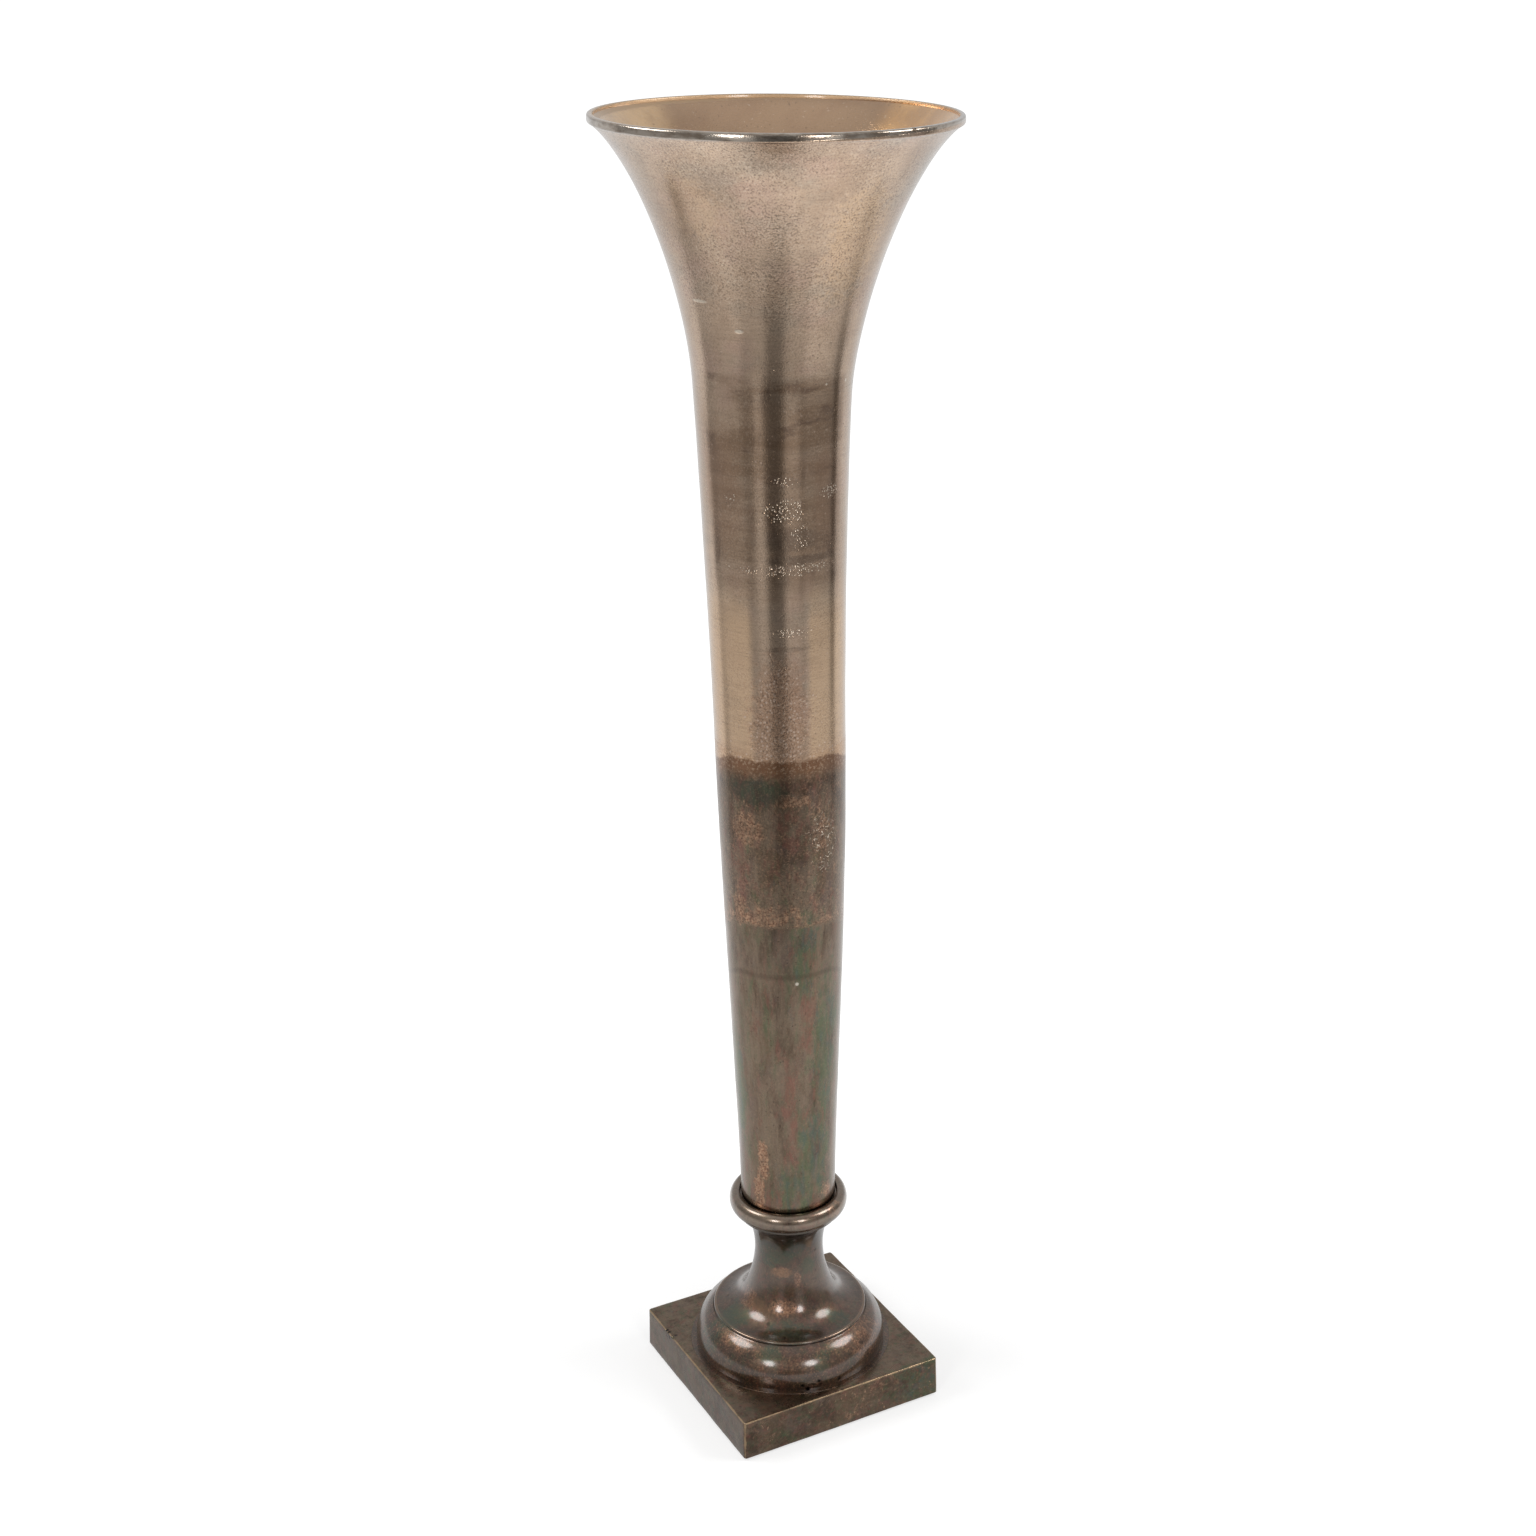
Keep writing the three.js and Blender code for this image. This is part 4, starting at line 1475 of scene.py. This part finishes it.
@finish
def worn_plinth(shader):
    """Patina of the plinth, rubbed bright along its edges."""
    place = place_on_piece()
    x, y, z = split(place)
    draft = (plinth_side_bottom - plinth_side_top) / 2 / plinth_height
    half = plinth_side_bottom / 2 - (z - plinth_bottom) * draft
    in_x = half - maths("ABSOLUTE", x)
    in_y = half - maths("ABSOLUTE", y)
    side_top = maths("MINIMUM", in_x, in_y) + (plinth_top - z)
    corner = in_x + in_y - 0.8 * mm
    chance = noise(place, 85.0, 6.0, 0.7) - 0.5
    edge = maths("MINIMUM", side_top, corner) - chance * (2 * mm)
    rubbed = ramp(edge, 1.2 * mm, 0.6 * mm)
    spots = ramp(noise(place, 18.0), 0.48, 0.62)
    on_right_face = ramp(y, -98 * mm, -101 * mm)
    right_end = on_right_face * ramp(x, 40 * mm, 80 * mm)
    # Painted light: the top and the left face get a paler tint than the other faces
    pale = most(
        ramp(x, -98 * mm, -101 * mm, 0.26, 0.40),
        ramp(z, plinth_top - 2 * mm, plinth_top - 1 * mm, 0.26, 0.70),
    )
    patina = use_group(
        bronze_patina, Copper=0.14 * spots + ramp(on_right_face, 0.0, 1.0, 0.28, 0.43),
        Green=0.26 * right_end + 0.48, Red=0.56, Pale=pale, Grain=0.2, Drawn=1.0,
    )
    specks = ramp(noise(place, 190.0, 4.0, 0.6), 0.62, 0.68)
    specks = specks * (on_right_face * ramp(noise(place, 30.0), 0.42, 0.60))
    colour = blend(0.75 * specks, patina["Colour"], copper_rub)
    colour = blend(0.75 * rubbed, colour, edge_gold)
    near_gouge = ramp(vector_maths("DISTANCE", place, gouge_place), 10 * mm, 4 * mm, 0.0, 0.9)
    gouge = pores(160.0, near_gouge)
    colour = blend(gouge, colour, gouge_black)
    clear_lacquer(shader, 0.35)
    polish(shader, colour, patina["Gloss"], patina["Relief"] - 3.0 * gouge, 0.35)


# Steel, rubber and felt

zinc_dark = (0.50, 0.51, 0.50)
zinc_pale = (0.72, 0.72, 0.69)
rubber_black = (0.02, 0.02, 0.02)
rubber_dust = (0.05, 0.048, 0.045)
felt_dark = (0.055, 0.055, 0.052)
felt_pale = (0.13, 0.128, 0.12)


@finish
def zinc_plated_steel(shader):
    place = place_on_piece()
    spangle = noise(place, 260.0, 4.0, 0.6)
    colour = blend(spangle, zinc_dark, zinc_pale)
    shader["Metallic"].default_value = 1.0
    polish(shader, colour, ramp(spangle, 0.3, 0.7, 0.28, 0.42), noise(place, 1400.0, 2.0), 0.15, 0.1 * mm)


@finish
def black_rubber(shader):
    place = place_on_piece()
    dust = noise(place, 320.0, 5.0, 0.65)
    colour = blend(ramp(dust, 0.45, 0.75), rubber_black, rubber_dust)
    polish(shader, colour, ramp(dust, 0.3, 0.7, 0.62, 0.8), noise(place, 1500.0), 0.2, 0.15 * mm)


@finish
def grey_felt(shader):
    fibres = noise(stretched(place_on_piece(), 1, 1, 2), 1500.0, 5.0, 0.7, 1.5)
    colour = blend(ramp(fibres, 0.3, 0.7), felt_dark, felt_pale)
    shader["Sheen Weight"].default_value = 0.4
    polish(shader, colour, 1.0, fibres, 0.7, 0.4 * mm)


# Making the vase

wear(cast_plinth(), worn_plinth)
wear(turned_foot(), patinated_foot)
wear(turned_collar(), patinated_collar)
wear(lower_trunk_tube(), patinated_trunk)
wear(upper_shaft_tube(), champagne_casting)
wear(trumpet_bell_mouth(), champagne_bell_with_polished_rim)
wear(threaded_rod(), zinc_plated_steel)
seal = stamped_ring(
    "rubber_seal", "floor_seal", seal_radius, vase_floor, seal_thickness, seal_edge
)
wear(seal, black_rubber)
floor_washer = stamped_ring(
    "steel_floor_washer", "floor_washer",
    washer_radius, seal_top, washer_thickness, washer_edge,
)
wear(floor_washer, zinc_plated_steel)
base_washer = stamped_ring(
    "steel_base_washer", "base_washer",
    base_washer_radius, spring_washer_top, base_washer_thickness, washer_edge,
)
wear(base_washer, zinc_plated_steel)
wear(split_spring_washer(), zinc_plated_steel)
wear(hex_nut("steel_top_nut", "top_nut", washer_top), zinc_plated_steel)
wear(hex_nut("steel_base_nut", "base_nut", base_nut_bottom), zinc_plated_steel)
for corner, (x, y) in pad_places.items():
    wear(felt_pad(corner, x, y), grey_felt)


# Studio: four soft lamps, and a glowing floor and world that show white paper behind and under the vase and
# a dimmer room on the camera's side.
# Distances on the floor are in metres from the vase, levels are shares of full brightness.

floor_size = 120
paper_near = 0.6
paper_far = 1.9
paper_level = 0.57
paper_grey = (0.5, 0.5, 0.5, 1)
room_starts = 1.95
room_full = 2.5
room_left = 0.47
room_right = 0.40
room_strip = 0.36
room_wall = 0.54
room_ceiling = 0.9
backdrop_turn = 113
backdrop_near = 1.05
backdrop_level = 0.76
dark_strip_turn = 105
sky_share = 0.8
gap_starts = 0.55
gap_full = 1.3


def share_of_front(place, turn, half_width, soft):
    """A mask round one direction, counted in degrees from the front."""
    angle = front_angle + math.radians(turn)
    cosine = facing(place, (math.cos(angle), math.sin(angle), 0))
    return ramp(cosine, math.cos(math.radians(half_width + soft)), math.cos(math.radians(half_width)))


def dark_gap(place):
    """What the dark gap between the lamps leaves of the light, by direction."""
    wide = ramp(share_of_front(place, 0, 40, 12), 0.0, 1.0, 1.0, 0.68)
    return wide * ramp(share_of_front(place, 1, 5, 13), 0.0, 1.0, 1.0, 0.44)


def room_on_camera_side(place):
    """What polished metal sees low down beyond the paper: dim, with two paler strips and a dark middle."""
    level = ramp(share_of_front(place, -90, 60, 60), 0.0, 1.0, room_right, room_left)
    strips = room_strip * share_of_front(place, -22, 3, 6) + room_strip * share_of_front(place, 28, 6, 9)
    return level * dark_gap(place) + strips


def backdrop(place):
    """The directions in which the white backdrop stands."""
    return share_of_front(place, 180, 180 - backdrop_turn, 5)


def backdrop_shade(place, distance):
    """What the dark strips beside the backdrop leave of the light, on the left and on the right."""
    left = share_of_front(place, -dark_strip_turn, 3, 6) * ramp(distance, 1.3, 1.8, 0.85, 0.2)
    to_right = share_of_front(place, dark_strip_turn, 3, 6) * ramp(distance, 1.6, 2.4, 0.4, 0.7)
    return 1.0 - (left + to_right) * ramp(distance, 1.1, 1.4)


def ray_kinds():
    """Marks the camera's own rays, and those that the metal mirrors."""
    rays = outputs_of(put("ShaderNodeLightPath"))
    return rays["Is Camera Ray"], most(rays["Is Glossy Ray"], rays["Is Transmission Ray"])


def studio_floor():
    floor = new_shape(
        "white_paper_floor", bpy.ops.mesh.primitive_plane_add, size=floor_size, location=(0, 0, 0)
    )
    material = bpy.data.materials.new("white_paper")
    start_nodes(material)
    # The floor glows though it is no lamp: for the camera a glow whitens the paper, more so away from the
    # vase, and in mirrored rays it shows a painted room, dark gaps and backdrop
    place = place_on_piece()
    distance = vector_maths("LENGTH", place)
    paper = ramp(distance, paper_near, paper_far, 1.0, paper_level)
    gap = between(ramp(distance, gap_starts, gap_full), 1.0, dark_gap(place))
    paper = paper * (gap * ramp(share_of_front(place, 90, 50, 50), 0.0, 1.0, 1.0, 1.1))
    seen = between(ramp(distance, room_starts, room_full), paper, room_on_camera_side(place))
    seen = seen * backdrop_shade(place, distance)
    seen = seen * ramp(distance, 0.1, 0.5, 0.6, 1.0)
    behind = backdrop(place) * ramp(distance, 0.3, 0.6)
    seen = between(behind, seen, ramp(distance, 1.0, 1.8, backdrop_near, backdrop_level))
    from_camera, mirrored = ray_kinds()
    whiter = from_camera * ramp(distance, 0.15, 0.6, 0.60, 0.9)
    lit = put_fed("ShaderNodeBsdfDiffuse", 0, {"Color": paper_grey})
    glow = put_fed("ShaderNodeEmission", 0, {"Strength": whiter})
    paper_seen = put_fed("ShaderNodeAddShader", 0, {0: lit, 1: glow})
    reflected = put_fed("ShaderNodeEmission", 0, {"Strength": seen})
    mixed = put_fed("ShaderNodeMixShader", 0, {0: mirrored, 1: paper_seen, 2: reflected})
    feed(put("ShaderNodeOutputMaterial").inputs["Surface"], mixed)
    wear(floor, material)


def studio_world():
    world = bpy.data.worlds.new("studio")
    bpy.context.scene.world = world
    start_nodes(world)
    direction = outputs_of(put("ShaderNodeTexCoord"))["Generated"]
    up = split(direction)[2]
    room = between(ramp(up, 0.0, 0.35), room_on_camera_side(direction), room_wall)
    room = between(ramp(up, 0.6, 0.97), room, room_ceiling)
    room = between(backdrop(direction), room, backdrop_level)
    from_camera, mirrored = ray_kinds()
    level = sky_share * between(mirrored, 0.5, room)
    level = between(from_camera, level, 1.0)
    sky = put_fed("ShaderNodeBackground", 0, {"Color": (1, 1, 1, 1), "Strength": level})
    feed(put("ShaderNodeOutputWorld").inputs["Surface"], sky)


def soft_lamp(name, turn, elevation, distance, wide, tall, radiance):
    """A lamp placed by its direction from the foot, its size in degrees and its brightness."""
    angle = front_angle + math.radians(turn)
    rise = math.radians(elevation)
    aim = Vector((0, 0, 0.1))
    out = Vector((math.cos(rise) * math.cos(angle), math.cos(rise) * math.sin(angle), math.sin(rise)))
    light = bpy.data.lights.new(name, "AREA")
    light.shape = "ELLIPSE"
    light.size = 2 * distance * math.tan(math.radians(wide / 2))
    light.size_y = 2 * distance * math.tan(math.radians(tall / 2))
    light.energy = radiance * math.pi * light.size * light.size_y * math.pi / 4
    lamp = bpy.data.objects.new(name, light)
    bpy.context.scene.collection.objects.link(lamp)
    lamp.location = aim + distance * out
    lamp.rotation_euler = (-out).to_track_quat("-Z", "Y").to_euler()


def photo_camera():
    pitch, yaw, roll = camera_pitch, camera_yaw, camera_roll
    ahead = Vector((math.sin(yaw) * math.cos(pitch), math.cos(yaw) * math.cos(pitch), -math.sin(pitch)))
    level = Vector((math.cos(yaw), -math.sin(yaw), 0))
    upright = level.cross(ahead)
    rightward = math.cos(roll) * level + math.sin(roll) * upright
    upward = -math.sin(roll) * level + math.cos(roll) * upright
    turn = Matrix.Rotation(-plinth_turn, 4, "Z")
    axes = Matrix((rightward, upward, -ahead)).transposed().to_4x4()
    place = Matrix.Translation((0, -camera_distance, camera_height))
    data = bpy.data.cameras.new("photo_camera")
    data.sensor_width = sensor_width
    data.lens = sensor_width * focal_pixels / photo_pixels
    camera = bpy.data.objects.new("photo_camera", data)
    bpy.context.scene.collection.objects.link(camera)
    camera.matrix_world = turn @ place @ axes
    bpy.context.scene.camera = camera


studio_floor()
studio_world()
soft_lamp("lamp_far_left", -86, 48, 2.6, 24, 22, 7)
soft_lamp("lamp_near_left", -26, 24, 3.6, 12, 15, 11)
soft_lamp("lamp_near_right", 25, 24, 3.6, 12, 15, 11)
soft_lamp("lamp_far_right", 84, 43, 2.6, 24, 22, 7)
photo_camera()
bpy.context.scene.view_settings.view_transform = "Standard"
